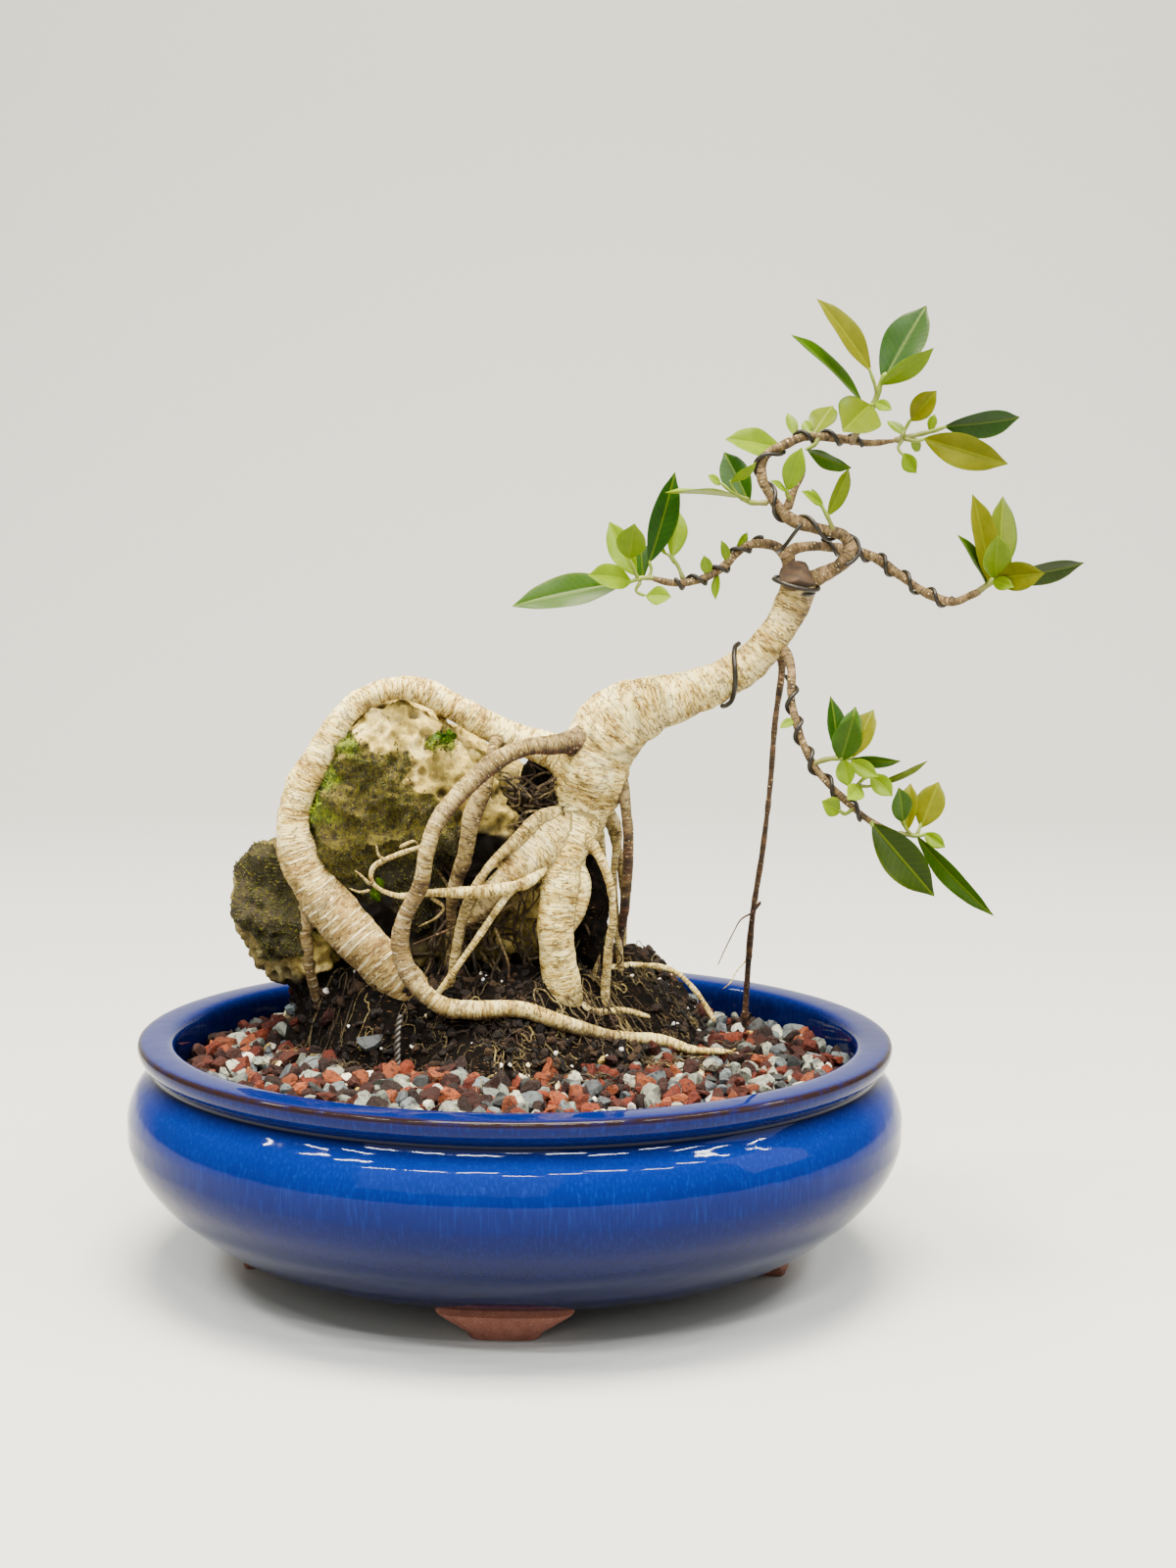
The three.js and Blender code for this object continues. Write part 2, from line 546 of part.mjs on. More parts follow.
function potSolid() {
  const profile = [...POT_OUTSIDE, ...[...POT_INSIDE].reverse()];
  const body = skinRings(profile.map(([height, offset]) => ovalRing(height, offset)));
  const feet = [-1, 0, 1, 2].map((quarter) => footSolid((quarter * Math.PI) / 2));
  const drains = [-1, 1].map((side) => {
    const bore = new THREE.CylinderGeometry(DRAIN_RADIUS, DRAIN_RADIUS, FLOOR_TOP, 20);
    bore.rotateX(Math.PI / 2);
    bore.translate(drainPlace(side), 0, FLOOR_TOP / 2 + FOOT_HEIGHT / 2);
    return solidOf(bore);
  });
  return unite([body, ...feet]).subtract(unite(drains));
}

// The room inside the pot between two heights, kept clear of its wall
function cavitySolid(bottom, top) {
  const offsetAt = (height) => {
    const i = POT_INSIDE.findIndex(([level]) => level > height);
    const [low, high] = [POT_INSIDE[i - 1], POT_INSIDE[i]];
    return low[1] + ((high[1] - low[1]) * (height - low[0])) / (high[0] - low[0]);
  };
  const between = POT_INSIDE.filter(([level]) => level > bottom && level < top);
  const rows = [[bottom, offsetAt(bottom)], ...between, [top, offsetAt(top)]];
  return skinRings(rows.map(([height, offset]) => ovalRing(height, offset - HOLE_GAP)));
}

// Filling

// Way from the mound's centre to its foot in a direction
function moundReach(angle) {
  const at = ((angle / (2 * Math.PI) + 2) % 1) * MOUND_REACH.length;
  const i = Math.floor(at);
  const share = (1 - Math.cos((at - i) * Math.PI)) / 2;
  const next = MOUND_REACH[(i + 1) % MOUND_REACH.length];
  return MOUND_REACH[i % MOUND_REACH.length] * (1 - share) + next * share;
}

// One level line of the mound. Rise goes from 0 at the foot to 1 at the top of the bank, which is long on
// the right and in front and short on the left. Beyond it the line shrinks towards the centre.
function moundRing(rise, grow) {
  const sides = 34;
  return Array.from({ length: sides }, (unused, k) => {
    const angle = (2 * Math.PI * k) / sides;
    const sideBank = 26 * Math.max(0, Math.cos(angle)) ** 4 - 6 * Math.max(0, -Math.cos(angle)) ** 2;
    const bank = 18 + sideBank + 12 * Math.max(0, -Math.sin(angle)) ** 4;
    const foot = moundReach(angle);
    const way = rise > 1 ? (foot - bank) * (2 - rise) : foot - bank * rise;
    const x = MOUND_CENTRE[0] + Math.cos(angle) * (way + grow);
    const y = MOUND_CENTRE[1] + Math.sin(angle) * (way + grow);
    const lumps = 1.6 * Math.sin(x * 0.19 + 1) * Math.sin(y * 0.23) + 1.2 * Math.sin(x * 0.07 + y * 0.11);
    const bankHeight = MOUND_HEIGHT * (1 - (1 - Math.min(rise, 1)) ** 1.3);
    return [x, y, SOIL_LEVEL + bankHeight + lumps * Math.min(rise, 1) + grow];
  });
}

function soilBody(grow) {
  const sunk = moundRing(0, grow).map(([x, y]) => [x, y, SOIL_LEVEL - 8]);
  const mound = skinRings([sunk, ...[0, 0.3, 0.6, 0.85, 1, 1.4, 1.8].map((rise) => moundRing(rise, grow))]);
  return unite([cavitySolid(FLOOR_TOP + GAP, SOIL_LEVEL + grow), mound]);
}

function boxSolid(length, width, height, x, y, bottom) {
  const box = new THREE.BoxGeometry(length, width, height);
  box.translate(x, y, bottom + height / 2);
  return solidOf(box);
}

// A drainage screen: a plate with square openings
function screenSolid(side) {
  const cells = 2;
  const pitch = SCREEN_SIZE / cells;
  const opening = pitch * 0.7;
  const bottom = FLOOR_TOP + GAP;
  const plate = boxSolid(SCREEN_SIZE, SCREEN_SIZE, SCREEN_THICKNESS, drainPlace(side), 0, bottom);
  const cuts = [];
  for (let i = 0; i < cells; i += 1) {
    for (let k = 0; k < cells; k += 1) {
      const x = drainPlace(side) + (i - (cells - 1) / 2) * pitch;
      const y = (k - (cells - 1) / 2) * pitch;
      cuts.push(boxSolid(opening, opening, SCREEN_THICKNESS * 3, x, y, bottom - SCREEN_THICKNESS));
    }
  }
  return plate.subtract(unite(cuts));
}

// One angular stone with eight faces and a random turn
function stoneSolid(x, y, z, random) {
  const stone = new THREE.OctahedronGeometry(STONE_RADIUS, 0);
  stone.scale(0.75 + 0.4 * random(), 0.75 + 0.4 * random(), 0.75 + 0.4 * random());
  stone.rotateX(random() * 6);
  stone.rotateY(random() * 6);
  stone.rotateZ(random() * 6);
  stone.translate(x, y, z);
  return solidOf(stone);
}

// Gravel: a thin bed with stones sunk in it, row by row, wherever there is no mound
function gravelBed() {
  const random = makeRandom(20);
  const stones = [];
  const rowStep = STONE_SPACING * 0.866;
  const reach = (x, y, halfLength, halfWidth) => Math.hypot(x / halfLength, y / halfWidth);
  const rows = Math.ceil(RIM_HALF_WIDTH / rowStep);
  const columns = Math.ceil(RIM_HALF_LENGTH / STONE_SPACING);
  for (let i = -rows; i <= rows; i += 1) {
    for (let k = -columns; k <= columns; k += 1) {
      const x = (k + (i % 2) / 2) * STONE_SPACING + (random() - 0.5) * 3;
      const y = i * rowStep + (random() - 0.5) * 3;
      const inPot = reach(x, y, RIM_HALF_LENGTH - 20, RIM_HALF_WIDTH - 20) < 1;
      const [mx, my] = [x - MOUND_CENTRE[0], y - MOUND_CENTRE[1]];
      if (inPot && Math.hypot(mx, my) > moundReach(Math.atan2(my, mx)) + 1) {
        stones.push(stoneSolid(x, y, GRAVEL_LEVEL - 1 + random() * 1.6, random));
      }
    }
  }
  const bed = cavitySolid(SOIL_LEVEL + GAP, GRAVEL_LEVEL);
  const room = cavitySolid(SOIL_LEVEL + GAP, 98);
  return unite([bed, ...stones]).intersect(room);
}

// Rock: level sections with cut corners, each corner knocked in or out a little. For the room it takes in
// the soil it is made larger by grow.
function rockLump(rows, seed, grow) {
  const random = makeRandom(seed);
  const rings = rows.map(([height, left, right, frontLeft, frontRight, back], i) => {
    const middle = (left + right) / 2;
    const cut = (right - left) * 0.14;
    const depth = (back - frontLeft) * 0.26;
    const corners = [
      [left, frontLeft + depth], [left + cut, frontLeft], [middle, (frontLeft + frontRight) / 2 - 2],
      [right - cut, frontRight], [right, frontRight + depth], [right, back - depth * 1.2],
      [right - cut * 2, back], [middle, back + 3], [left + cut * 2, back], [left, back - depth * 1.4],
    ];
    const centre = vec(middle, (frontLeft + back) / 2, height);
    const end = i === 0 ? -1 : Number(i === rows.length - 1);
    return corners.map(([x, y]) => {
      const corner = vec(x, y, height + (random() - 0.5) * 2 * ROCK_ROUGHNESS);
      const out = corner.clone().sub(centre).setZ(0).normalize();
      corner.addScaledVector(out, (random() - 0.5) * 2 * ROCK_ROUGHNESS + grow);
      return [corner.x, corner.y, corner.z + end * grow];
    });
  });
  return skinRings(rings);
}

const rockSolid = (grow) => unite([rockLump(ROCK_BODY, 3, grow), rockLump(ROCK_LOBE, 8, grow)]);

// Assembly

const limbs = [...Object.values(WOOD), ...Object.values(BRANCHES)];
const wood = unite([...limbs.map((limb) => limbSolid(limb)), ...TWIG_LEAVES.map(leafSolid)]);
const roomForWood = unite(limbs.map((limb) => limbSolid(limb, HOLE_GAP)));
const anchorWire = sweepLimb(ANCHOR_WIRE, 6, 12);
const roomForAnchor = sweepLimb(ANCHOR_WIRE, 6, 12, HOLE_GAP);
const roomForScreens = unite([-1, 1].map((side) => {
  const size = SCREEN_SIZE + 2 * HOLE_GAP;
  return boxSolid(size, size, SCREEN_THICKNESS + 4 * HOLE_GAP, drainPlace(side), 0, FLOOR_TOP - HOLE_GAP);
}));
const rock = largestBody(rockSolid(0).subtract(roomForWood));
const soilCuts = unite([roomForWood, rockSolid(HOLE_GAP), roomForAnchor, roomForScreens]);
const soil = largestBody(soilBody(0).subtract(soilCuts));
const gravel = largestBody(gravelBed().subtract(unite([soilBody(HOLE_GAP), roomForWood, roomForAnchor])));

const model = new THREE.Group();

function addPiece(name, solid, color, roughness, metalness = 0) {
  const material = new THREE.MeshStandardMaterial({ color, roughness, metalness });
  const mesh = new THREE.Mesh(geometryOf(solid), material);
  mesh.name = name;
  model.add(mesh);
}

addPiece('pot', potSolid(), 0x3f5f9e, 0.2);
addPiece('drain_screen_left', screenSolid(-1), 0x24262a, 0.6);
addPiece('drain_screen_right', screenSolid(1), 0x24262a, 0.6);
addPiece('soil', soil, 0x2e2219, 1);
addPiece('gravel', gravel, 0x7d4438, 0.95);
addPiece('rock', rock, 0x9c8f6c, 0.95);
addPiece('ficus_wood', wood, 0xcbb48f, 0.8);
Object.entries(SHOOTS).forEach(([name, shoot]) => {
  addPiece(`leaves_${name}`, largestBody(shootSolid(shoot).subtract(roomForWood)), 0x7ea32c, 0.5);
});
Object.entries(WIRES).forEach(([name, wire]) => {
  addPiece(`wire_${name}`, windWire(wire), 0x3a2c22, 0.5, 0.6);
});
addPiece('anchor_wire', anchorWire, 0x8f8c82, 0.5, 0.6);

// Origin under the middle of the whole box
const box = new THREE.Box3().setFromObject(model);
const centre = box.getCenter(vec(0, 0, 0));
model.position.set(-centre.x, -centre.y, -box.min.z);

const ficus = new THREE.Group();
ficus.add(model);
export default ficus;
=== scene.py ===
"""Looks of a tiger bark ficus grown over a limestone rock, in a glazed oval pot.

Every shape is worked out in millimetres from the middle of the pot at the height of the table, with +X to
the right and +Y to the back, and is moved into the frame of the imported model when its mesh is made.
"""

from __future__ import annotations

import logging
import math
from collections.abc import Callable, Sequence
from dataclasses import dataclass, field
from enum import Enum
from functools import partial
from typing import Any, ClassVar

import bpy
import numpy as np
from mathutils import Matrix, Vector
from numpy.typing import NDArray


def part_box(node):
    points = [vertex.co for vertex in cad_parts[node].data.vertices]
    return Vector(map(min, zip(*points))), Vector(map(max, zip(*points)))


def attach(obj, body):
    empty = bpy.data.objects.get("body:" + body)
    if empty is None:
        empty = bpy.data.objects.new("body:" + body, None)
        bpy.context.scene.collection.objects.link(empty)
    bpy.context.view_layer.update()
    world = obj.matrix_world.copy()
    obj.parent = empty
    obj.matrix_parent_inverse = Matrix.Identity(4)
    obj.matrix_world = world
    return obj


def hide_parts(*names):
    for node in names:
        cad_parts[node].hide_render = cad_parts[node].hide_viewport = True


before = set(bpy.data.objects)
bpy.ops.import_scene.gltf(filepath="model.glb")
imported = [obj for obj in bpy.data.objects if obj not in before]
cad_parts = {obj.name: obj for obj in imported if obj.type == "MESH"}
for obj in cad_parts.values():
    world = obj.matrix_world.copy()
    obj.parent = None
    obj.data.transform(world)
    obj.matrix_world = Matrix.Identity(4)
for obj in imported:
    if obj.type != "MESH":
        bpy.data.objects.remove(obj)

Array = NDArray[np.float64]
Faces = NDArray[np.int64]
Rows = Sequence[Sequence[float]]
Socket = bpy.types.NodeSocket
Inputs = dict[str | int, Any]
Adder = Callable[..., Socket]
MM = 0.001  # metres in a millimetre
LOG = logging.getLogger("bonsai")
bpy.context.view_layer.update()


def pot_centre() -> Array:
    """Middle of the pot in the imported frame, in millimetres, at table height."""
    low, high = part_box("pot")
    return np.array([(low.x + high.x) * 500.0, (low.y + high.y) * 500.0, 0.0])


CENTRE = pot_centre()

# Limbs as rows of x, y, z and radius. The first group has grown together into one body.
HEAVY_LIMBS: dict[str, Rows] = {
    "trunk": [
        (25, 14, 174, 8), (27, 14, 192, 11.5), (30, 12, 207, 15), (34, 12, 219, 15), (42, 11, 229, 14.5),
        (53, 10, 236, 12.5), (70, 9, 241, 9.5), (86, 9, 248, 8.5), (97, 9, 256, 7.5), (105, 8, 266, 7),
        (111, 8, 277, 7), (114, 8, 285, 7.5), (115, 8, 293, 7),
    ],
    "arching_root": [
        (25, 14, 211, 8.5), (11, 15, 217, 7), (-9, 15, 224, 6.5), (-23, 13, 232, 6), (-37, 12, 240, 5.5),
        (-49, 11, 242, 5), (-61, 10, 239, 5), (-71, 9, 231, 5.5), (-82, 7, 213, 6.5), (-90, 5, 198, 7),
        (-92, 4, 182, 7.5), (-88, 3, 168, 9), (-79, 2, 154, 10), (-66, 0, 140, 10), (-54, -2, 128, 10),
        (-42, 0, 114, 9), (-34, 5, 100, 8), (-28, 10, 90, 6),
    ],
    "running_root": [
        (29, 6, 223, 5.5), (15, -4, 221, 4.5), (6, -9, 221, 4), (-5, -13, 217, 4), (-18, -17, 207, 4),
        (-30, -21, 193, 3.5), (-35, -23, 179, 3.5), (-37, -22, 167, 3.5), (-44, -20, 152, 3.5),
        (-46, -19, 140, 4), (-41, -19, 126, 4), (-29, -20, 116, 4), (-16, -19, 114, 4), (2, -17, 114, 3.5),
        (20, -15, 108, 3.5), (40, -5, 100, 3), (61, 7, 95, 3), (74, 6, 91.5, 2), (90, 9, 90, 1.5),
    ],
    "leg": [
        (26, 10, 188, 9), (21, 4, 176, 8.5), (18, 1, 163, 8), (16, -1, 149, 7.5), (17, -1, 135, 7.5),
        (19, 1, 119, 8.5), (20, 5, 104, 8), (20, 8, 92, 6),
    ],
    "leg_lobe": [(25, 3, 171, 4.5), (27, 2, 160, 4), (26, 1, 151, 3), (23, 1, 143, 1.5)],
    "right_front_root": [
        (24, 4, 186, 3), (32, 1, 178, 2.5), (38, 0, 165, 2), (40, 2, 149, 2), (38, 5, 133, 2),
        (37, 9, 112, 2.5), (37, 10, 98, 2),
    ],
    "right_outer_root": [
        (33, 12, 212, 4), (42, 10, 206, 3), (45, 9, 192, 2.5), (46, 12, 174, 2.5), (45, 19, 152, 2.5),
        (43, 26, 135, 2), (40, 34, 112, 2),
    ],
    "root_stub": [
        (23, 9, 186, 8.5), (14, 3, 179, 8.5), (5, -2, 172, 7.5), (-4, -6, 165, 6), (-13, -8, 156, 4.5),
        (-21, -8, 147, 3),
    ],
    "strap_root": [
        (18, 8, 191, 3.5), (10, 2, 191, 2.5), (-1, -5, 181, 2.5), (-11, -10, 171, 2), (-18, -12, 160, 2),
        (-22, -9, 147, 2.5), (-28, -3, 115, 2),
    ],
    "hanging_root": [
        (-8, 14, 223, 3.5), (-10, 4, 217, 2.5), (-13, -1, 203, 3.5), (-18, -2, 191, 4), (-21, -1, 175, 3.5),
        (-26, 3, 159, 3), (-28, 10, 142, 2), (-30, 16, 112, 2),
    ],
    "left_prop_root": [
        (-83, 2, 158, 5), (-87, 1, 146, 3), (-87, 3, 133, 3), (-85, 11, 113, 2.5), (-81, 19, 98, 2.5),
    ],
    "back_left_root": [
        (-25, 16, 233, 4.5), (-38, 40, 228, 4.5), (-52, 60, 204, 4), (-58, 72, 170, 4), (-64, 74, 104, 4),
    ],
    "back_middle_root": [(25, 24, 201, 7), (24, 50, 186, 5), (20, 70, 154, 4), (18, 72, 104, 4)],
    "back_right_root": [(31, 24, 196, 5), (39, 42, 179, 2.5), (44, 56, 150, 2), (44, 64, 106, 2)],
}
SLENDER_ROOTS: dict[str, Rows] = {
    "right_inner_root": [(34, 18, 197, 3), (41, 22, 183, 2), (40, 23, 161, 1.5), (44, 27, 114, 1.5)],
    "slim_root": [(32, 16, 189, 2.5), (35, 20, 176, 1.5), (35, 23, 157, 1.5), (32, 22, 112, 1.5)],
    "level_root": [
        (13, 0, 173, 3), (6, -9, 166, 2.5), (-6, -14, 163, 2.5), (-22, -16, 162, 2.5), (-33, -17, 162, 1.5),
        (-48, -18, 161, 1), (-57, -18, 166, 1), (-57, -18, 172, 1), (-49, -19, 177, 1), (-36, -21, 182, 1),
    ],
    "brace_root": [
        (2, -7, 166, 2), (-4, -12, 159, 1.5), (-16, -12, 141, 1.3), (-35, -9, 113, 1.3), (-42, -5, 101, 1.3),
    ],
    "aerial_root": [
        (107, 8, 260, 2.5), (108, 9, 252, 1.5), (106, 14, 229, 1.2), (105, 21, 202, 1.2), (103, 31, 172, 1.2),
        (100, 42, 142, 1.3), (99, 53, 115, 1.4), (98, 60, 78, 1.4),
    ],
    "front_side_root": [
        (18, 2, 118, 3), (22, 4, 114, 2), (32, 1, 109, 1.6), (45, 10, 107, 1.4), (56, 15, 103, 1),
    ],
    "right_side_root": [
        (38, 24, 122, 1.6), (52, 34, 121, 1.3), (66, 32, 119, 1.2), (76, 30, 110, 1.2), (84, 27, 98, 1),
    ],
    "level_twig_one": [(-58, -18, 165, 0.8), (-61, -20, 169, 0.55), (-64, -22, 172, 0.3)],
    "level_twig_two": [(-58, -18, 163, 0.8), (-62, -22, 163, 0.5), (-66, -24, 165, 0.3)],
    "level_twig_three": [(-51, -19, 175, 0.8), (-54, -22, 178, 0.5), (-55, -23, 183, 0.3)],
    "level_twig_four": [(-34, -16, 160, 0.8), (-29, -12, 155, 0.6), (-32, -8, 150, 0.5), (-40, -4, 145, 0.35)],
    "level_twig_five": [(-46, -20, 181, 0.8), (-41, -17, 183, 0.6), (-39, -12, 181, 0.4)],
    "aerial_hair_one": [
        (103, 36, 149, 0.8), (100, 38, 144, 0.5), (95, 41, 140, 0.35), (92, 43, 134, 0.3), (89, 42, 128, 0.25),
        (85, 38, 120, 0.2),
    ],
    "aerial_hair_two": [
        (101, 52, 122, 0.7), (97, 52, 118, 0.4), (94, 50, 115, 0.3), (91, 48, 110, 0.25), (88, 46, 108, 0.2),
    ],
    "dark_cross_root": [(8, 6, 161, 0.8), (-6, 2, 151, 0.6), (-23, 0, 145, 0.5), (-43, 2, 136, 0.5)],
    "dark_down_root": [(-9, 2, 144, 0.7), (-6, 0, 137, 0.6), (-3, -2, 129, 0.5), (-3, -2, 121, 0.4)],
}
BRANCHES: dict[str, Rows] = {
    "left": [
        (111, 10, 287, 3), (109, 12, 296, 2.5), (105, 12, 301, 2), (94, 8, 302, 1.8), (88, 6, 298, 1.7),
        (83, 4, 293, 1.7), (73, -1, 288, 1.6), (63, -5, 287, 1.4), (54, -8, 289, 1),
    ],
    "crown": [
        (115, 10, 286, 4.5), (123, 7, 290, 3.5), (130, 4, 294, 3), (134, 2, 300, 3), (131, 1, 306, 2.5),
        (120, 1, 309, 2.5), (109, 1, 313, 2.4), (102, 3, 321, 2), (98, 4, 329, 2), (99, 5, 337, 2),
        (107, 7, 342, 2), (115, 10, 345, 1.8), (127, 13, 345, 1.7), (141, 16, 343, 1.4), (153, 19, 344, 1),
    ],
    "spur": [(108, 2, 316, 2), (111, 3, 324, 1.5), (114, 4, 330, 1.1), (115, 5, 335, 0.9)],
    "right": [
        (110, 13, 293, 3), (111, 16, 299, 2.5), (118, 18, 301, 2), (133, 22, 300, 2), (145, 22, 297, 2),
        (157, 20, 289, 1.8), (168, 18, 282, 1.8), (178, 16, 279, 1.7), (185, 14, 282, 1.5), (189, 13, 284, 1.3),
    ],
    "hanging": [
        (108, 5, 261, 2.5), (111, 0, 253, 1.8), (111, -6, 241, 1.6), (114, -11, 228, 1.5), (120, -16, 215, 1.5),
        (130, -19, 204, 1.5), (142, -20, 194, 1.3), (155, -20, 188, 0.9),
    ],
}


def linear(code: str) -> tuple[float, float, float, float]:
    """Turn an sRGB hex colour into the linear one that shaders use.

    Args:
        code: six hex digits after a hash sign.

    Returns:
        Linear red, green and blue, and an alpha of 1.
    """
    parts = [int(code[i : i + 2], 16) / 255.0 for i in (1, 3, 5)]
    light = [p / 12.92 if p <= 0.04045 else ((p + 0.055) / 1.055) ** 2.4 for p in parts]
    return (light[0], light[1], light[2], 1.0)


def colour(code: str) -> Array:
    """The linear colour of a hex code as an array of three."""
    return np.array(linear(code)[:3])


def picked(random: np.random.Generator, codes: Sequence[str], count: int) -> Array:
    """Linear colours drawn at random from some hex codes."""
    return np.array([colour(code) for code in codes])[random.integers(0, len(codes), count)]


def round_turn(count: int) -> Array:
    """Angles of that many even steps round a circle."""
    return np.linspace(0, 2 * np.pi, count, endpoint=False)


def unit(vectors: Array) -> Array:
    """Vectors of length one along the last axis."""
    return vectors / np.maximum(np.linalg.norm(vectors, axis=-1, keepdims=True), 1e-12)


def blend_step(low: float, high: float, value: Array) -> Array:
    """Go smoothly from 0 at low to 1 at high, as 3t squared less 2t cubed."""
    t = np.clip((value - low) / (high - low), 0.0, 1.0)
    return t * t * (3.0 - 2.0 * t)


def hashed(cells: Faces, seed: int) -> Array:
    """Give every whole-number cell a fixed number from 0 to 1.

    Args:
        cells: whole coordinates, three along the last axis.
        seed: another seed gives other numbers.

    Returns:
        One number per cell.
    """
    mask = np.uint64(0xFFFFFFFF)
    c = cells.astype(np.int64).astype(np.uint64)
    x, y, z = (c[..., k] * np.uint64(prime) for k, prime in enumerate((73856093, 19349663, 83492791)))
    mix = (x ^ y ^ z ^ np.uint64(seed * 2654435761 % 2**32)) & mask
    for shift, factor in ((16, 0x45D9F3B), (15, 0x2C1B3C6D), (16, 0x297A2D39)):
        mix = ((mix ^ (mix >> np.uint64(shift))) * np.uint64(factor)) & mask
    return (mix ^ (mix >> np.uint64(16))).astype(np.float64) / 2.0**32


def noise(points: Array, size: float, seed: int, octaves: int = 1) -> Array:
    """Smooth lumps: hashed values at the corners of a lattice, blended inside each cell by smooth steps.

    Args:
        points: places in millimetres, three along the last axis.
        size: width of a lump in millimetres.
        seed: another seed gives another pattern.
        octaves: how many layers, each half as large and half as strong as the one before.

    Returns:
        A value from about -1 to 1 at each point.
    """
    total = np.zeros(points.shape[:-1])
    for layer in range(octaves):
        at = points * (2.0**layer / size)
        cell = np.floor(at).astype(np.int64)
        part = at - cell
        part = part * part * (3.0 - 2.0 * part)
        value = np.zeros(points.shape[:-1])
        for corner in range(8):
            step = np.array([corner & 1, corner >> 1 & 1, corner >> 2 & 1])
            weight = np.prod(np.where(step == 1, part, 1.0 - part), axis=-1)
            value += weight * hashed(cell + step, seed + layer)
        total += (value * 2.0 - 1.0) * 0.5**layer
    return total


def pits(points: Array, size: float, seed: int) -> Array:
    """Distance to the nearest of many scattered points, one in each cell of a lattice.

    Args:
        points: places in millimetres.
        size: mean distance of the scattered points.
        seed: another seed scatters them otherwise.

    Returns:
        The distance as a share of size: 0 in the middle of a pit.
    """
    at = points / size
    cell = np.floor(at).astype(np.int64)
    nearest = np.full(points.shape[:-1], 9.0)
    for code in range(27):
        other = cell + np.array([code % 3 - 1, code // 3 % 3 - 1, code // 9 - 1])
        spot = other + np.stack([hashed(other, seed + k) for k in range(3)], axis=-1)
        nearest = np.minimum(nearest, np.linalg.norm(at - spot, axis=-1))
    return nearest


@dataclass
class Shape:
    """Vertices in millimetres with their faces, and values that belong to the vertices."""

    vertices: Array
    quads: Faces = field(default_factory=lambda: np.zeros((0, 4), np.int64))
    triangles: Faces = field(default_factory=lambda: np.zeros((0, 3), np.int64))
    values: dict[str, Array] = field(default_factory=dict)

    def tagged(self, **values: Array | float) -> Shape:
        """Give every vertex some values of one number or three.

        Args:
            values: for each mesh attribute one value for all vertices, or one for each.

        Returns:
            The same shape.
        """
        for name, value in values.items():
            given = np.asarray(value, float)
            # node: node of the imported model that they replace.
            if given.ndim == 0 or len(given) != len(self.vertices):
                given = np.repeat(given[None], len(self.vertices), axis=0)
            self.values[name] = given
        return self


def joined(shapes: list[Shape]) -> Shape:
    """Put shapes with the same kinds of values side by side into one.

    Args:
        shapes: at least one shape.

    Returns:
        One shape with all their faces.
    """
    starts = np.cumsum([0] + [len(s.vertices) for s in shapes[:-1]])
    return Shape(
        np.vstack([s.vertices for s in shapes]),
        np.vstack([s.quads + start for s, start in zip(shapes, starts)]),
        np.vstack([s.triangles + start for s, start in zip(shapes, starts)]),
        {name: np.concatenate([s.values[name] for s in shapes]) for name in shapes[0].values},
    )


def copies(points: Array, faces: Faces) -> Shape:
    """Many small bodies with the same triangles, from the corners of each."""
    starts = (np.arange(len(points)) * points.shape[1])[:, None, None]
    return Shape(points.reshape(-1, 3), triangles=(faces[None] + starts).reshape(-1, 3))


def loft(grid: Array, around: bool = True) -> Shape:
    """Skin a grid of points: each row is joined to the next, and a row's end to its start if it goes round.

    Args:
        grid: rows by columns by three.
        around: whether each row is a closed ring. The first and the last are then closed by fans.

    Returns:
        The surface, facing outwards where rings run counter-clockwise about the way of the rows.
    """
    rows, columns = grid.shape[:2]
    row, column = np.meshgrid(np.arange(rows - 1), np.arange(columns - (not around)), indexing="ij")
    a = row * columns + column
    b = row * columns + (column + 1) % columns
    quads = np.stack([a, b, b + columns, a + columns], axis=-1).reshape(-1, 4)
    if not around:
        return Shape(grid.reshape(-1, 3), quads)
    k = np.arange(columns)
    after, last = (k + 1) % columns, (rows - 1) * columns
    first_fan = np.stack([np.full(columns, rows * columns), after, k], axis=-1)
    last_fan = np.stack([np.full(columns, rows * columns + 1), last + k, last + after], axis=-1)
    return Shape(capped_values(grid), quads, np.vstack([first_fan, last_fan]))


def capped_values(grid_values: Array) -> Array:
    """Values for a capped loft: those of the grid, then the means of its first and last row."""
    flat = grid_values.reshape(-1, *grid_values.shape[2:])
    return np.concatenate([flat, grid_values[:1].mean(axis=1), grid_values[-1:].mean(axis=1)])


@dataclass
class Route:
    """A smooth line through a limb's rows, with a frame at each place."""

    points: Array
    along: Array
    radius: Array
    run: Array
    side: Array
    up: Array


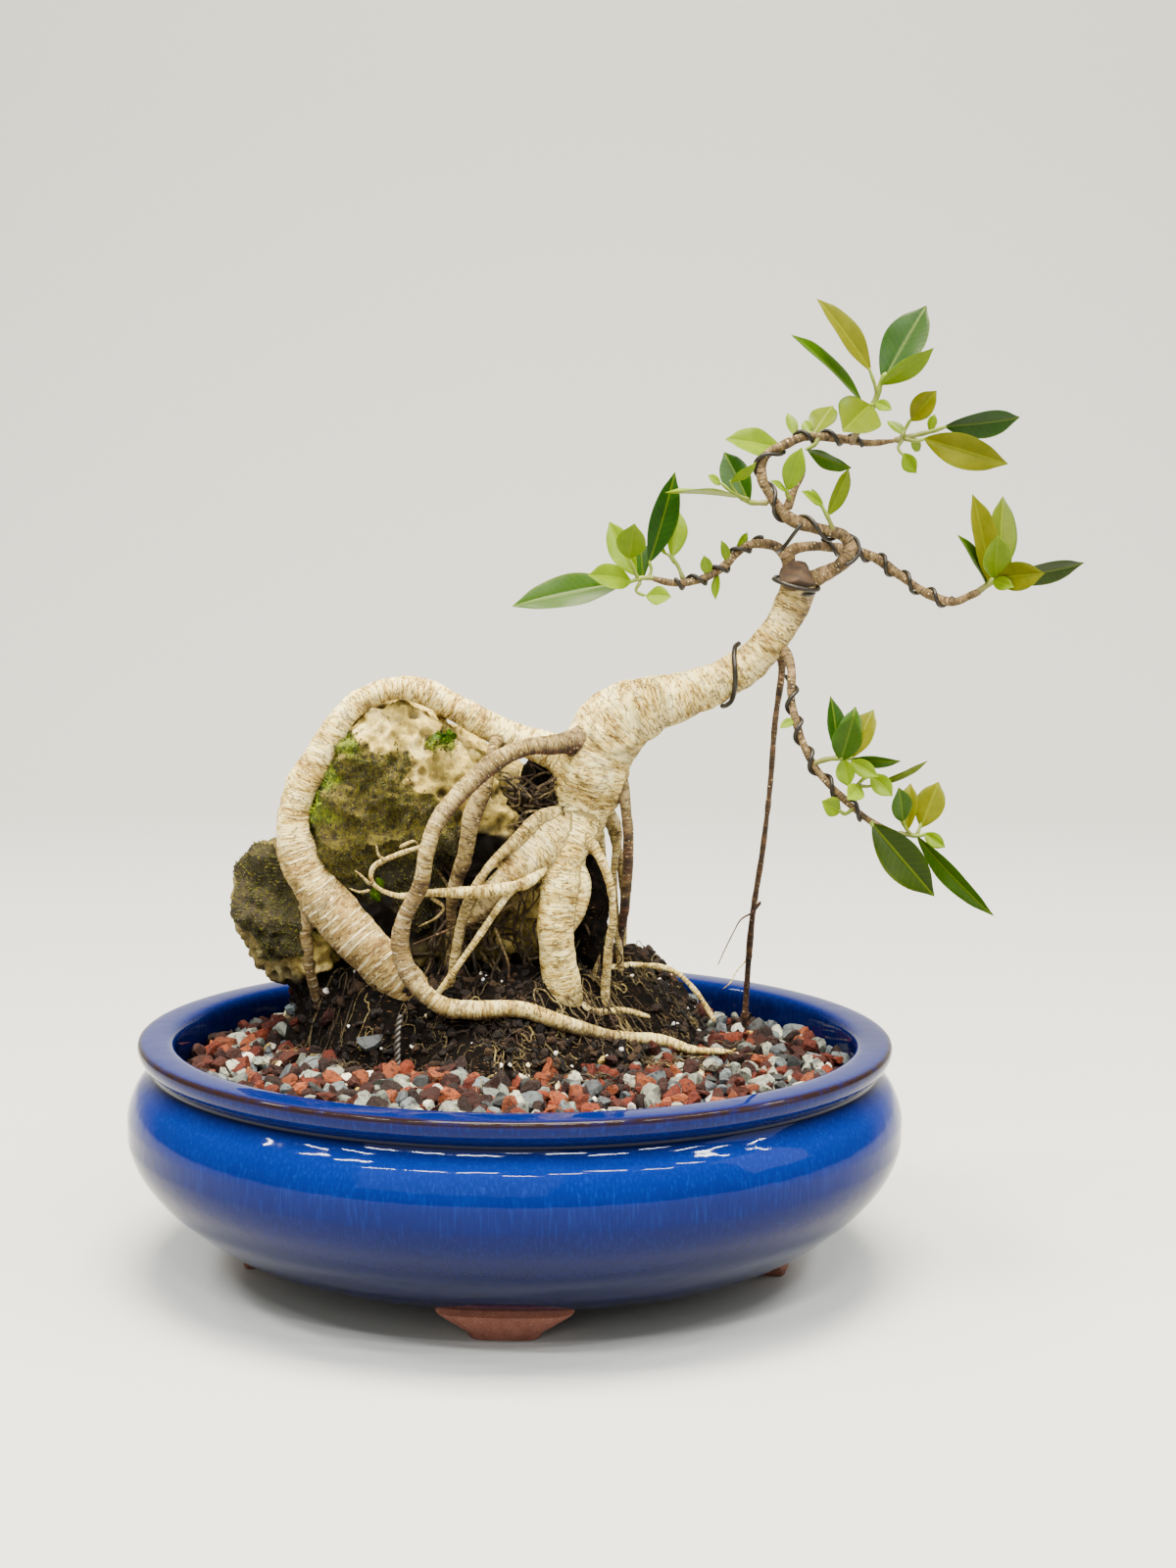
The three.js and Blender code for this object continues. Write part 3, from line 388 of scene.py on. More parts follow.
def route(rows: Rows, step: float) -> Route:
    """Draw a centripetal Catmull-Rom line through rows and carry a frame along it without twisting.

    Args:
        rows: x, y, z and radius of each place.
        step: distance between the places worked out, in millimetres.

    Returns:
        The line with its directions, radii and run length.
    """
    given = np.asarray(rows, float)
    p = np.vstack([2 * given[0, :3] - given[1, :3], given[:, :3], 2 * given[-1, :3] - given[-2, :3]])
    gap = np.sqrt(np.linalg.norm(np.diff(p, axis=0), axis=1))
    points, along, radius = [], [], []
    for i in range(len(given) - 1):
        x0, x1, x2, x3 = p[i : i + 4]
        d0, d1, d2 = gap[i : i + 3]
        t1 = ((x1 - x0) / d0 - (x2 - x0) / (d0 + d1) + (x2 - x1) / d1) * d1
        t2 = ((x2 - x1) / d1 - (x3 - x1) / (d1 + d2) + (x3 - x2) / d2) * d1
        count = max(1, round(float(np.linalg.norm(x2 - x1)) / step))
        last = i == len(given) - 2
        u = (np.arange(count + last) / count)[:, None]
        second = 3 * (x2 - x1) - 2 * t1 - t2
        third = 2 * (x1 - x2) + t1 + t2
        points.append(x1 + t1 * u + second * u**2 + third * u**3)
        along.append(t1 + 2 * second * u + 3 * third * u**2)
        radius.append(given[i, 3] + (given[i + 1, 3] - given[i, 3]) * u[:, 0])
    line, direction = np.vstack(points), unit(np.vstack(along))
    run = np.concatenate([[0.0], np.cumsum(np.linalg.norm(np.diff(line, axis=0), axis=1))])
    sides = [np.array([0.0, 1, 0]) if abs(direction[0][1]) < 0.9 else np.array([1.0, 0, 0])]
    for way in direction:
        sides.append(unit(sides[-1] - way * (sides[-1] @ way)))
    side = np.array(sides[1:])
    return Route(line, direction, np.concatenate(radius), run, side, np.cross(direction, side))


def grain_of(line: Route, sides: int, reach: Array) -> Array:
    """Bark coordinates in millimetres: the run along the limb, and the place across it from its heart."""
    x, y = reach * np.cos(round_turn(sides)), reach * np.sin(round_turn(sides))
    return np.stack(np.broadcast_arrays(line.run[:, None], x, y), axis=-1)


def tube(line: Route, sides: int, swell: Array | float = 1.0) -> Shape:
    """A rod round a line, drawn in at both ends like a quarter circle.

    Args:
        line: the line to follow, whose radius is the rod's.
        sides: points in a ring.
        swell: factor on the radius, for each place and angle.

    Returns:
        The closed rod, with its bark coordinates as the value grain.
    """
    edge = np.minimum(line.run, line.run[-1] - line.run)
    draw = np.sqrt(np.clip(1 - (1 - np.clip(edge / np.maximum(line.radius, 0.2), 0, 1)) ** 2, 0.03, 1))
    grain = grain_of(line, sides, (line.radius * draw)[:, None] * swell)
    rings = line.points[:, None] + grain[..., 1:2] * line.side[:, None] + grain[..., 2:] * line.up[:, None]
    return loft(rings).tagged(grain=capped_values(grain))


def thin_root(places: Array, radius: Array | float, step: float, sides: int, age: float, soil: float) -> Shape:
    """A thin root with the same bark all along.

    Args:
        places: where it goes.
        radius: its radius at each place.
        step: distance between its rings, in millimetres.
        sides: points in a ring.
        age: age of its bark.
        soil: how much soil sticks to it.

    Returns:
        The root.
    """
    rows = np.column_stack([places, np.broadcast_to(radius, len(places))]).tolist()
    return tube(route(rows, step), sides).tagged(age=age, ring=0.0, soil=soil)


class MeshMaker:
    """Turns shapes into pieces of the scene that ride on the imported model."""

    def mesh(self, name: str, shape: Shape) -> bpy.types.Mesh:
        """Put a shape into a mesh in metres, with its values as attributes.

        Args:
            name: name of the mesh.
            shape: the shape in millimetres.

        Returns:
            The new mesh.
        """
        mesh = bpy.data.meshes.new(name)
        places = (shape.vertices + CENTRE) / 1000.0
        mesh.from_pydata(places.tolist(), [], shape.quads.tolist() + shape.triangles.tolist())
        for label, value in shape.values.items():
            kind, key = ("FLOAT", "value") if value.ndim == 1 else ("FLOAT_VECTOR", "vector")
            layer = mesh.attributes.new(label, kind, "POINT")
            layer.data.foreach_set(key, value.astype(np.float32).ravel())
        mesh.update()
        return mesh

    def placed(self, name: str, data: bpy.types.ID) -> bpy.types.Object:
        """Put a mesh, a lamp or a camera into the scene.

        Args:
            name: name of the object.
            data: what it shows.

        Returns:
            The new object.
        """
        item = bpy.data.objects.new(name, data)
        bpy.context.scene.collection.objects.link(item)
        return item

    def baked(self, item: bpy.types.Object) -> bpy.types.Mesh:
        """The object's mesh as its modifiers leave it."""
        graph = bpy.context.evaluated_depsgraph_get()
        return bpy.data.meshes.new_from_object(item.evaluated_get(graph), depsgraph=graph)

    def piece(self, name: str, shape: Shape, finish: Finish, node: str = "", slot: str = "",
              crease: float | None = 50.0) -> bpy.types.Object:
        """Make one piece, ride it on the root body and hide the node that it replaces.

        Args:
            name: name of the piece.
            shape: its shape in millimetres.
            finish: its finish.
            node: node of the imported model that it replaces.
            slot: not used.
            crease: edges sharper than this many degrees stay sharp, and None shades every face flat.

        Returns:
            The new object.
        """
        mesh = self.mesh(name, shape)
        mesh.materials.append(finish.material())
        if crease is not None:
            mesh.shade_smooth()
            mesh.set_sharp_from_angle(angle=math.radians(crease))
        piece = self.placed(name, mesh)
        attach(piece, "root")
        if node:
            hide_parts(node)
        LOG.info("%s: %d vertices, %d faces", name, len(mesh.vertices), len(mesh.polygons))
        return piece


MAKER = MeshMaker()

# What every node of a kind has here, as settings and as inputs, and the output that is read of it
USUAL: dict[str, tuple[dict[str, Any], Inputs, int | str]] = {
    "Attribute": ({}, {}, "Fac"),
    "Bump": ({}, {"Strength": 1.0}, 0),
    "MapRange": ({"clamp": True}, {}, 0),
    "Mix": ({"data_type": "RGBA"}, {}, 2),
    "TexCoord": ({}, {}, "Object"),
    "TexNoise": ({}, {"Detail": 3.0, "Roughness": 0.6}, 0),
}


def add(tree: bpy.types.NodeTree, kind: str, inputs: Inputs, read: int | str | None = None,
        stops: tuple[tuple[float, str], ...] = (), **settings: Any) -> Socket:
    """Add one shader node with its settings and links.

    Args:
        tree: the material's nodes.
        kind: Blender's name of the node, after ShaderNode.
        inputs: a value, a hex colour or another node's output, for each input by name or number.
        read: the output that is wanted, if it isn't the usual one.
        stops: places and hex colours of a colour ramp.
        settings: properties of the node.

    Returns:
        The node's output.
    """
    usual_settings, usual_inputs, usual_output = USUAL.get(kind, ({}, {}, 0))
    node = tree.nodes.new("ShaderNode" + kind)
    for name, value in {**usual_settings, **settings}.items():
        setattr(node, name, value)
    for name, value in {**usual_inputs, **inputs}.items():
        if isinstance(value, Socket):
            tree.links.new(value, node.inputs[name])
        else:
            node.inputs[name].default_value = linear(value) if isinstance(value, str) else value
    for _ in stops[2:]:
        node.color_ramp.elements.new(0.5)
    for number, (place, code) in enumerate(stops):
        element = node.color_ramp.elements[number]
        element.position, element.color = place, linear(code)
    return node.outputs[usual_output if read is None else read]


@dataclass(frozen=True)
class Finish:
    """A material by the name of the real one. Each kind of finish below draws its own surface, and calls
    add by the name new."""

    name: str

    def surface(self, new: Adder) -> Socket:
        """Draw the surface and return the shader output."""
        raise NotImplementedError

    def material(self) -> bpy.types.Material:
        """Find the material of this name, or make it.

        Returns:
            The material with this finish.
        """
        material = bpy.data.materials.get(self.name)
        if material is None:
            material = bpy.data.materials.new(self.name)
            material.use_nodes = True
            tree = material.node_tree
            tree.nodes.clear()
            output = tree.nodes.new("ShaderNodeOutputMaterial")
            tree.links.new(self.surface(partial(add, tree)), output.inputs["Surface"])
        return material


@dataclass(frozen=True)
class CobaltGlaze(Finish):
    """Glossy cobalt stoneware glaze, poured: fine vertical streaks, brown where it is thin on the rim's edge,
    and darker where it gathers in the groove under the rim and at the foot. Painted shade makes it near black
    low on the belly, in that groove, at the foot and inside the pot."""

    deep: str = "#01041c"
    thin: str = "#1d120c"

    def surface(self, new: Adder) -> Socket:
        """Colour by height, darkened towards the bottom by painted shade, then by the value of glaze pooling
        with painted shade and by the value break, with 1 mm wide streaks 12 mm long.
        """
        place = new("TexCoord", {})
        height = new("SeparateXYZ", {0: place}, "Z")
        sway = new("TexNoise", {"Vector": place, "Scale": 30.0})
        swayed = new("Math", {0: sway, 1: 0.012, 2: height}, operation="MULTIPLY_ADD")
        # Painted shade: the colour runs to near black towards the bottom of the belly.
        stops = ((0.0, "#01020f"), (0.35, "#01062a"), (0.62, "#030f46"), (0.85, "#061b62"), (1.0, "#030f46"))
        body = new("ValToRGB", {0: new("MapRange", {0: swayed, 1: 0.014, 2: 0.1})}, stops=stops)
        tall = new("Mapping", {"Vector": place, "Scale": (1000.0, 1000.0, 90.0)})
        streak = new("MapRange", {0: new("TexNoise", {"Vector": tall, "Scale": 1.0}), 1: 0.5, 2: 0.75, 4: 0.25})
        upper = new("MapRange", {0: height, 1: 0.035, 2: 0.075})
        share = new("Math", {0: streak, 1: upper}, operation="MULTIPLY")
        flecked = new("Mix", {0: share, 6: body, 7: "#1a3f96"})
        fine = new("TexNoise", {"Vector": place, "Scale": 900.0, "Detail": 1.0})
        fine = new("MapRange", {0: fine, 1: 0.35, 2: 0.7, 4: 0.25})
        grained = new("Mix", {0: fine, 6: flecked, 7: "#041050"})
        # Glaze pooling with painted shade: near black in the groove under the rim, at the foot and inside the
        # pot.
        pooled_and_shaded = new("Mix", {0: new("Attribute", {}, attribute_name="pool"), 6: grained, 7: self.deep})
        worn = new("MapRange", {0: new("TexNoise", {"Vector": place, "Scale": 160.0}), 1: 0.1, 2: 0.5})
        edge = new("Math", {0: new("Attribute", {}, attribute_name="break"), 1: worn}, operation="MULTIPLY")
        final = new("Mix", {0: edge, 6: pooled_and_shaded, 7: self.thin})
        wavy = new("TexNoise", {"Vector": place, "Scale": 110.0, "Detail": 1.0})
        normal = new("Bump", {"Height": wavy, "Distance": 0.12 * MM})
        return new("BsdfPrincipled", {"Base Color": final, "Roughness": 0.05, "IOR": 1.5,
                                      "Specular IOR Level": 0.11, "Normal": normal})


@dataclass(frozen=True)
class BareClay(Finish):
    """Unglazed fired clay, pressed in a mould: matt pinkish brown with sandy specks."""

    def surface(self, new: Adder) -> Socket:
        """Clay colour with 5 mm clouds and half-millimetre grit."""
        place = new("TexCoord", {})
        clouds = new("MapRange", {0: new("TexNoise", {"Vector": place, "Scale": 200.0}), 1: 0.3, 2: 0.75})
        base = new("Mix", {0: clouds, 6: "#8a5646", 7: "#6f4133"})
        grit = new("TexNoise", {"Vector": place, "Scale": 1800.0, "Detail": 2.0})
        sandy = new("Mix", {0: new("MapRange", {0: grit, 1: 0.62, 2: 0.72}), 6: base, 7: "#b48a72"})
        normal = new("Bump", {"Height": grit, "Distance": 0.15 * MM})
        return new("BsdfPrincipled", {"Base Color": sandy, "Roughness": 0.85, "Normal": normal})


@dataclass(frozen=True)
class Screen(Finish):
    """Drainage mesh of moulded black polyethylene: dull, faintly rough."""

    def surface(self, new: Adder) -> Socket:
        """Near black with a fine moulded grain."""
        grain = new("TexNoise", {"Vector": new("TexCoord", {}), "Scale": 900.0, "Detail": 2.0})
        base = new("Mix", {0: grain, 6: "#0c0c0d", 7: "#1c1c1e"})
        normal = new("Bump", {"Height": grain, "Distance": 0.05 * MM})
        return new("BsdfPrincipled", {"Base Color": base, "Roughness": 0.55, "Normal": normal})


@dataclass(frozen=True)
class PeatSoil(Finish):
    """Damp peaty potting soil: brown on its crumbs, with tan fibres, and near black in its hollows, which is
    painted shade.
    """

    def surface(self, new: Adder) -> Socket:
        """Crumbs of 3 mm and 1 mm with thin lighter fibres of noise stretched along one axis."""
        place = new("TexCoord", {})
        crumb = new("TexNoise", {"Vector": place, "Scale": 330.0, "Detail": 5.0})
        # Painted shade: the crumb noise that raises the surface also colours it, near black where it is low.
        stops = ((0.3, "#010101"), (0.5, "#070402"), (0.62, "#120b05"), (0.8, "#24170b"))
        base = new("ValToRGB", {0: crumb}, stops=stops)
        long = new("Mapping", {"Vector": place, "Scale": (260.0, 1500.0, 1500.0)})
        fibre = new("TexNoise", {"Vector": long, "Scale": 1.0, "Detail": 1.0})
        fibrous = new("Mix", {0: new("MapRange", {0: fibre, 1: 0.68, 2: 0.74}), 6: base, 7: "#5f472c"})
        rough = new("TexNoise", {"Vector": place, "Scale": 700.0, "Detail": 4.0})
        normal = new("Bump", {"Height": crumb, "Distance": 1.2 * MM})
        normal = new("Bump", {"Height": rough, "Distance": 0.6 * MM, "Normal": normal})
        return new("BsdfPrincipled", {"Base Color": fibrous, "Roughness": 0.95,
                                      "Specular IOR Level": 0.1, "Normal": normal})


@dataclass(frozen=True)
class Pebble(Finish):
    """Crushed rock in the colour that each stone has as its value tint. Lava is dull and full of small
    holes, and granite is denser with fine pale and dark specks."""

    hole: float = 700.0
    depth: float = 0.5
    gloss: float = 0.8

    def surface(self, new: Adder) -> Socket:
        """Each stone's colour, with painted shade in its holes, and lighter on its grains."""
        place = new("TexCoord", {})
        tint = new("Attribute", {}, "Color", attribute_name="tint")
        grain = new("TexNoise", {"Vector": place, "Scale": self.hole})
        # Painted shade: near black where the hole noise, which also sinks the surface, is low.
        dark = new("Mix", {0: new("MapRange", {0: grain, 1: 0.5, 2: 0.3}), 6: tint, 7: "#140d0b"})
        speck = new("TexNoise", {"Vector": place, "Scale": 1900.0, "Detail": 2.0})
        speck = new("MapRange", {0: speck, 1: 0.58, 2: 0.75})
        light = new("Mix", {0: speck, 6: dark, 7: "#3f3932"}, blend_type="SCREEN")
        normal = new("Bump", {"Height": grain, "Distance": self.depth * MM})
        return new("BsdfPrincipled", {"Base Color": light, "Roughness": self.gloss,
                                      "Specular IOR Level": 0.25, "Normal": normal})


@dataclass(frozen=True)
class Limestone(Finish):
    """Weathered limestone: cream and tan with grey patches, and green under its moss, which the value moss
    spreads and the value bright makes yellow green. Painted shade makes its pits dark brown, and near black
    painted shade lies on it near the soil, on the lower front and on the left lobe."""

    def surface(self, new: Adder) -> Socket:
        """Stone colours by 12 mm clouds, with painted shade in the pits by the value pit, then moss broken up
        at its edge by 3 mm noise, and near black painted shade near the soil, on the lower front and on the
        left lobe.
        """
        place = new("TexCoord", {})
        pit, moss, bright, damp = (
            new("Attribute", {}, attribute_name=name) for name in ("pit", "moss", "bright", "damp")
        )
        clouds = new("TexNoise", {"Vector": place, "Scale": 75.0, "Detail": 5.0})
        stops = ((0.28, "#443410"), (0.42, "#7a6a2c"), (0.53, "#b49c4e"), (0.66, "#dcc880"), (0.85, "#aca47c"))
        grain = new("TexNoise", {"Vector": place, "Scale": 420.0, "Detail": 4.0})
        stain = new("MapRange", {0: grain, 1: 0.5, 2: 0.25})
        stained = new("Mix", {0: stain, 6: new("ValToRGB", {0: clouds}, stops=stops), 7: "#544320"})
        # Painted shade: dark brown in the pits.
        pit_shaded = new("Mix", {0: pit, 6: stained, 7: "#2c2013"})
        mottle = new("MapRange", {0: grain, 1: 0.35, 2: 0.65})
        dark = new("Mix", {0: mottle, 6: "#1f1503", 7: "#534a06"})
        fresh = new("Mix", {0: mottle, 6: "#3a4202", 7: "#626a02"})
        green = new("Mix", {0: bright, 6: dark, 7: fresh})
        spread = new("Math", {0: grain, 1: 0.8, 2: moss}, operation="MULTIPLY_ADD")
        final = new("Mix", {0: new("MapRange", {0: spread, 1: 0.78, 2: 0.98}), 6: pit_shaded, 7: green})
        # Painted shade: near black near the soil, on the lower front and on the left lobe.
        shade = new("Mix", {0: damp, 6: final, 7: "#100b07"})
        normal = new("Bump", {"Height": grain, "Distance": 0.8 * MM})
        return new("BsdfPrincipled", {"Base Color": shade, "Roughness": 0.9,
                                      "Specular IOR Level": 0.3, "Normal": normal})


@dataclass(frozen=True)
class Moss(Finish):
    """Cushion moss: soft short tufts in the green that each tuft has as its value tint."""

    def surface(self, new: Adder) -> Socket:
        """Each tuft's colour, with a little sheen for its fine tips."""
        tint = new("Attribute", {}, "Color", attribute_name="tint")
        light = new("TexNoise", {"Vector": new("TexCoord", {}), "Scale": 800.0, "Detail": 2.0})
        base = new("Mix", {0: light, 6: tint, 7: "#8f9a2a"}, blend_type="SOFT_LIGHT")
        return new("BsdfPrincipled", {"Base Color": base, "Roughness": 0.9,
                                      "Specular IOR Level": 0.2, "Sheen Weight": 0.15})


@dataclass(frozen=True)
class FigBark(Finish):
    """Bark of the fig, which grows in fine rings across the limb: cream on its ridges, tan in its furrows,
    grey brown in stains, and brown where the value age is high, as on thin roots and branches. The value age
    also holds painted shade on the undersides of the grown limbs and on the hanging root and the root stub,
    and where the value ring is high, on the lower left of the arching root, brown painted shade is laid."""

    ridge: str = "#f8e28c"
    middle: str = "#d8b860"
    furrow: str = "#6c4e1c"

    def surface(self, new: Adder) -> Socket:
        """Cream and tan clouds of 9 mm under dark wrinkles half a millimetre wide that wander across the
        limb, with pale dots, and raised cream dashes 3 mm apart that show where the value ring is high."""
        grain = new("Attribute", {}, "Vector", attribute_name="grain")
        age, ring, soil = (new("Attribute", {}, attribute_name=name) for name in ("age", "ring", "soil"))
        # Patterns per millimetre along the limb and across it, their number of layers and their density
        patterns = (((0.13, 0.08), 5.0, 1.0), ((1.5, 0.22), 3.0, 1.0), ((0.4, 0.12), 4.0, 1.0),
                    ((0.06, 0.1), 3.0, 2.0), ((0.45, 0.1), 2.0, 1.0))
        cloud, fine, wave, sway, patch = (
            new("TexNoise", {"Vector": new("Mapping", {"Vector": grain, "Scale": (along, across, across)}),
                             "Scale": scale, "Detail": detail})
            for (along, across), detail, scale in patterns
        )
        both = new("Math", {0: fine, 1: 0.75, 2: cloud}, operation="MULTIPLY_ADD")
        level = new("MapRange", {0: both, 1: 0.63, 2: 1.14})
        stops = ((0.0, self.furrow), (0.2, "#a98a3e"), (0.4, self.middle), (0.6, self.ridge), (1.0, "#ffefb4"))
        bark = new("ValToRGB", {0: level}, stops=stops)
        fold = new("Math", {0: wave, 1: 0.5}, operation="SUBTRACT")
        fold = new("Math", {0: fold}, operation="ABSOLUTE")
        wrinkle = new("MapRange", {0: fold, 1: 0.028, 2: 0.004})
        share = new("Math", {0: wrinkle, 1: 0.75}, operation="MULTIPLY")
        wrinkled = new("Mix", {0: share, 6: bark, 7: "#5c3c14"})
        # Painted shade: brown laid where the value ring is high, on the lower left of the arching root.
        tan = new("MapRange", {0: ring, 1: 0.35, 2: 1.0, 4: 0.62})
        lower_arch_shaded = new("Mix", {0: tan, 6: wrinkled, 7: "#7e5f30"})
        run = new("SeparateXYZ", {0: grain}, "X")
        paced = new("Math", {0: run, 1: 0.55, 2: sway}, operation="MULTIPLY_ADD")
        saw = new("Math", {0: paced, 1: 1.0}, operation="PINGPONG")
        broken = new("MapRange", {0: patch, 1: 0.47, 2: 0.54})
        line = new("MapRange", {0: saw, 1: 0.38, 2: 0.2})
        dash = new("Math", {0: line, 1: broken}, operation="MULTIPLY")
        dash = new("Math", {0: dash, 1: ring}, operation="MULTIPLY")
        dashed = new("Mix", {0: dash, 6: lower_arch_shaded, 7: "#ffeab0"})
        dotted = new("Mapping", {"Vector": grain, "Scale": (0.5, 0.36, 0.36)})
        pore = new("MapRange", {0: new("TexVoronoi", {"Vector": dotted, "Scale": 1.0}), 1: 0.2, 2: 0.12})
        stops = ((0.0, "#140a05"), (0.4, "#301b0e"), (0.7, "#51321b"), (1.0, "#785232"))
        # The value age also holds painted shade: on the undersides of the grown limbs, the hanging root and the
        # root stub.
        aged_and_shaded = new("Mix", {0: age, 6: dashed, 7: new("ValToRGB", {0: level}, stops=stops)})
        share = new("Math", {0: pore, 1: 0.5}, operation="MULTIPLY")
        pored = new("Mix", {0: share, 6: aged_and_shaded, 7: "#f4dfa4"})
        soiled = new("Mix", {0: soil, 6: pored, 7: "#1a110a"})
        normal = new("Bump", {"Height": dash, "Distance": 0.4 * MM})
        for height, distance in ((pore, 0.15), (wrinkle, -0.45), (both, 1.0)):
            normal = new("Bump", {"Height": height, "Distance": distance * MM, "Normal": normal})
        return new("BsdfPrincipled", {"Base Color": soiled, "Roughness": 0.72,
                                      "Specular IOR Level": 0.35, "Normal": normal})


@dataclass(frozen=True)
class CutWood(Finish):
    """Old saw cut gone brown: matt end grain with rings about a millimetre and a half apart."""

    def surface(self, new: Adder) -> Socket:
        """Brown with rings round the cut's middle, from the value grain."""
        grain = new("Attribute", {}, "Vector", attribute_name="grain")
        rings = new("TexWave", {"Vector": grain, "Scale": 0.12, "Distortion": 3.0, "Detail": 3.0}, "Fac",
                    wave_type="RINGS", rings_direction="X")
        base = new("Mix", {0: rings, 6: "#33220f", 7: "#463117"})
        normal = new("Bump", {"Height": rings, "Distance": 0.2 * MM})
        return new("BsdfPrincipled", {"Base Color": base, "Roughness": 0.85, "Normal": normal})


@dataclass(frozen=True)
class LeafSkin(Finish):
    """Waxy leaf: smooth and softly glossy, with a pale midrib and faint side veins 3 mm apart."""

    def surface(self, new: Adder) -> Socket:
        """Colour from the value tint, veins from the value blade: way along and across in millimetres, and
        the half width."""
        place = new("TexCoord", {})
        tint = new("Attribute", {}, "Color", attribute_name="tint")
        blade = new("Attribute", {}, "Vector", attribute_name="blade")
        along, across = (new("SeparateXYZ", {0: blade}, axis) for axis in "XY")
        across = new("Math", {0: across}, operation="ABSOLUTE")
        swept = new("Math", {0: across, 1: -0.75, 2: along}, operation="MULTIPLY_ADD")
        spaced = new("Math", {0: swept, 1: 2.2}, operation="MULTIPLY")
        side_vein = new("MapRange", {0: new("Math", {0: spaced}, operation="SINE"), 1: 0.8, 2: 1.0})
        midrib = new("MapRange", {0: across, 1: 0.55, 2: 0.25})
        vein = new("Math", {0: side_vein, 1: 0.16, 2: midrib}, operation="MULTIPLY_ADD")
        cloud = new("MapRange", {0: new("TexNoise", {"Vector": place, "Scale": 180.0}), 1: 0.3, 2: 0.7})
        paler = new("Mix", {0: 1.0, 6: tint, 7: "#dfe6b4"}, blend_type="MULTIPLY")
        varied = new("Mix", {0: cloud, 6: tint, 7: paler})
        share = new("Math", {0: vein, 1: 0.13}, operation="MULTIPLY", use_clamp=True)
        veined = new("Mix", {0: share, 6: varied, 7: "#8fa014"})
        fine = new("TexNoise", {"Vector": place, "Scale": 1500.0, "Detail": 1.0})
        normal = new("Bump", {"Height": fine, "Distance": 0.02 * MM})
        normal = new("Bump", {"Height": vein, "Distance": 0.1 * MM, "Normal": normal})
        return new("BsdfPrincipled", {
            "Base Color": veined, "Roughness": 0.34, "Specular IOR Level": 0.11, "Subsurface Weight": 0.05,
            "Subsurface Radius": (0.4, 1.0, 0.1), "Subsurface Scale": 1.5 * MM, "Normal": normal,
        })


@dataclass(frozen=True)
class GreenStem(Finish):
    """Young stem: soft, half matt, green running to brown with the value age."""

    def surface(self, new: Adder) -> Socket:
        """Green to brown with 2 mm mottling."""
        mottle = new("TexNoise", {"Vector": new("TexCoord", {}), "Scale": 500.0})
        young = new("Mix", {0: mottle, 6: "#526a02", 7: "#768604"})
        old = new("Mix", {0: mottle, 6: "#4a3722", 7: "#705a38"})
        base = new("Mix", {0: new("Attribute", {}, attribute_name="age"), 6: young, 7: old})
        normal = new("Bump", {"Height": mottle, "Distance": 0.1 * MM})
        return new("BsdfPrincipled", {"Base Color": base, "Roughness": 0.6, "Normal": normal})


@dataclass(frozen=True)
class CoatedWire(Finish):
    """Aluminium training wire with a dark olive brown anodised coat: a satin line of light, scuffed in
    places."""

    coat: str = "#1a1407"

    def surface(self, new: Adder) -> Socket:
        """Dark coat with lighter scuffs 3 mm long."""
        scuff = new("TexNoise", {"Vector": new("TexCoord", {}), "Scale": 330.0, "Detail": 4.0})
        scuff = new("MapRange", {0: scuff, 1: 0.6, 2: 0.8})
        base = new("Mix", {0: scuff, 6: self.coat, 7: "#584a24"})
        normal = new("Bump", {"Height": scuff, "Distance": 0.03 * MM})
        return new("BsdfPrincipled", {"Base Color": base, "Roughness": 0.42, "Metallic": 0.35,
                                      "Normal": normal})


@dataclass(frozen=True)
class PaintedSweep(Finish):
    """Pale matt wall paint, rolled."""

    def surface(self, new: Adder) -> Socket:
        """One pale grey all over."""
        return new("BsdfPrincipled", {"Base Color": "#b8b9b6", "Roughness": 0.9, "Specular IOR Level": 0.2})


Leaf = tuple[tuple[float, float, float], tuple[float, float, float], float, float]


class Tone(Enum):
    """Colour of the side of a leaf that faces the front, and of its other side."""

    FRESH = ("#5a8000", "#788c04")
    YOUNG = ("#a0bc00", "#acbc04")
    DARK = ("#426c00", "#647c04")
    DEEP = ("#465c00", "#6c7404")
    OLIVE = ("#9a9a00", "#a0a404")
    BLUISH = ("#3a6a00", "#5e7e06")
    PALE = ("#8c9c00", "#5a7c00")


# Tiny leaves that sit straight on a twig, as base, tip, width, turn about the rib in degrees
TWIG_LEAVES: list[Leaf] = [
    ((77, 1, 290), (75, -2, 298), 5, 0), ((85, 5, 295), (82, 0, 304), 4, 10),
    ((88, 6, 299), (93, 10, 307), 4, 30), ((81, 3, 291), (80, 0, 280), 4, 30),
    ((112, -9, 233), (106, -14, 230), 4, 10),
]

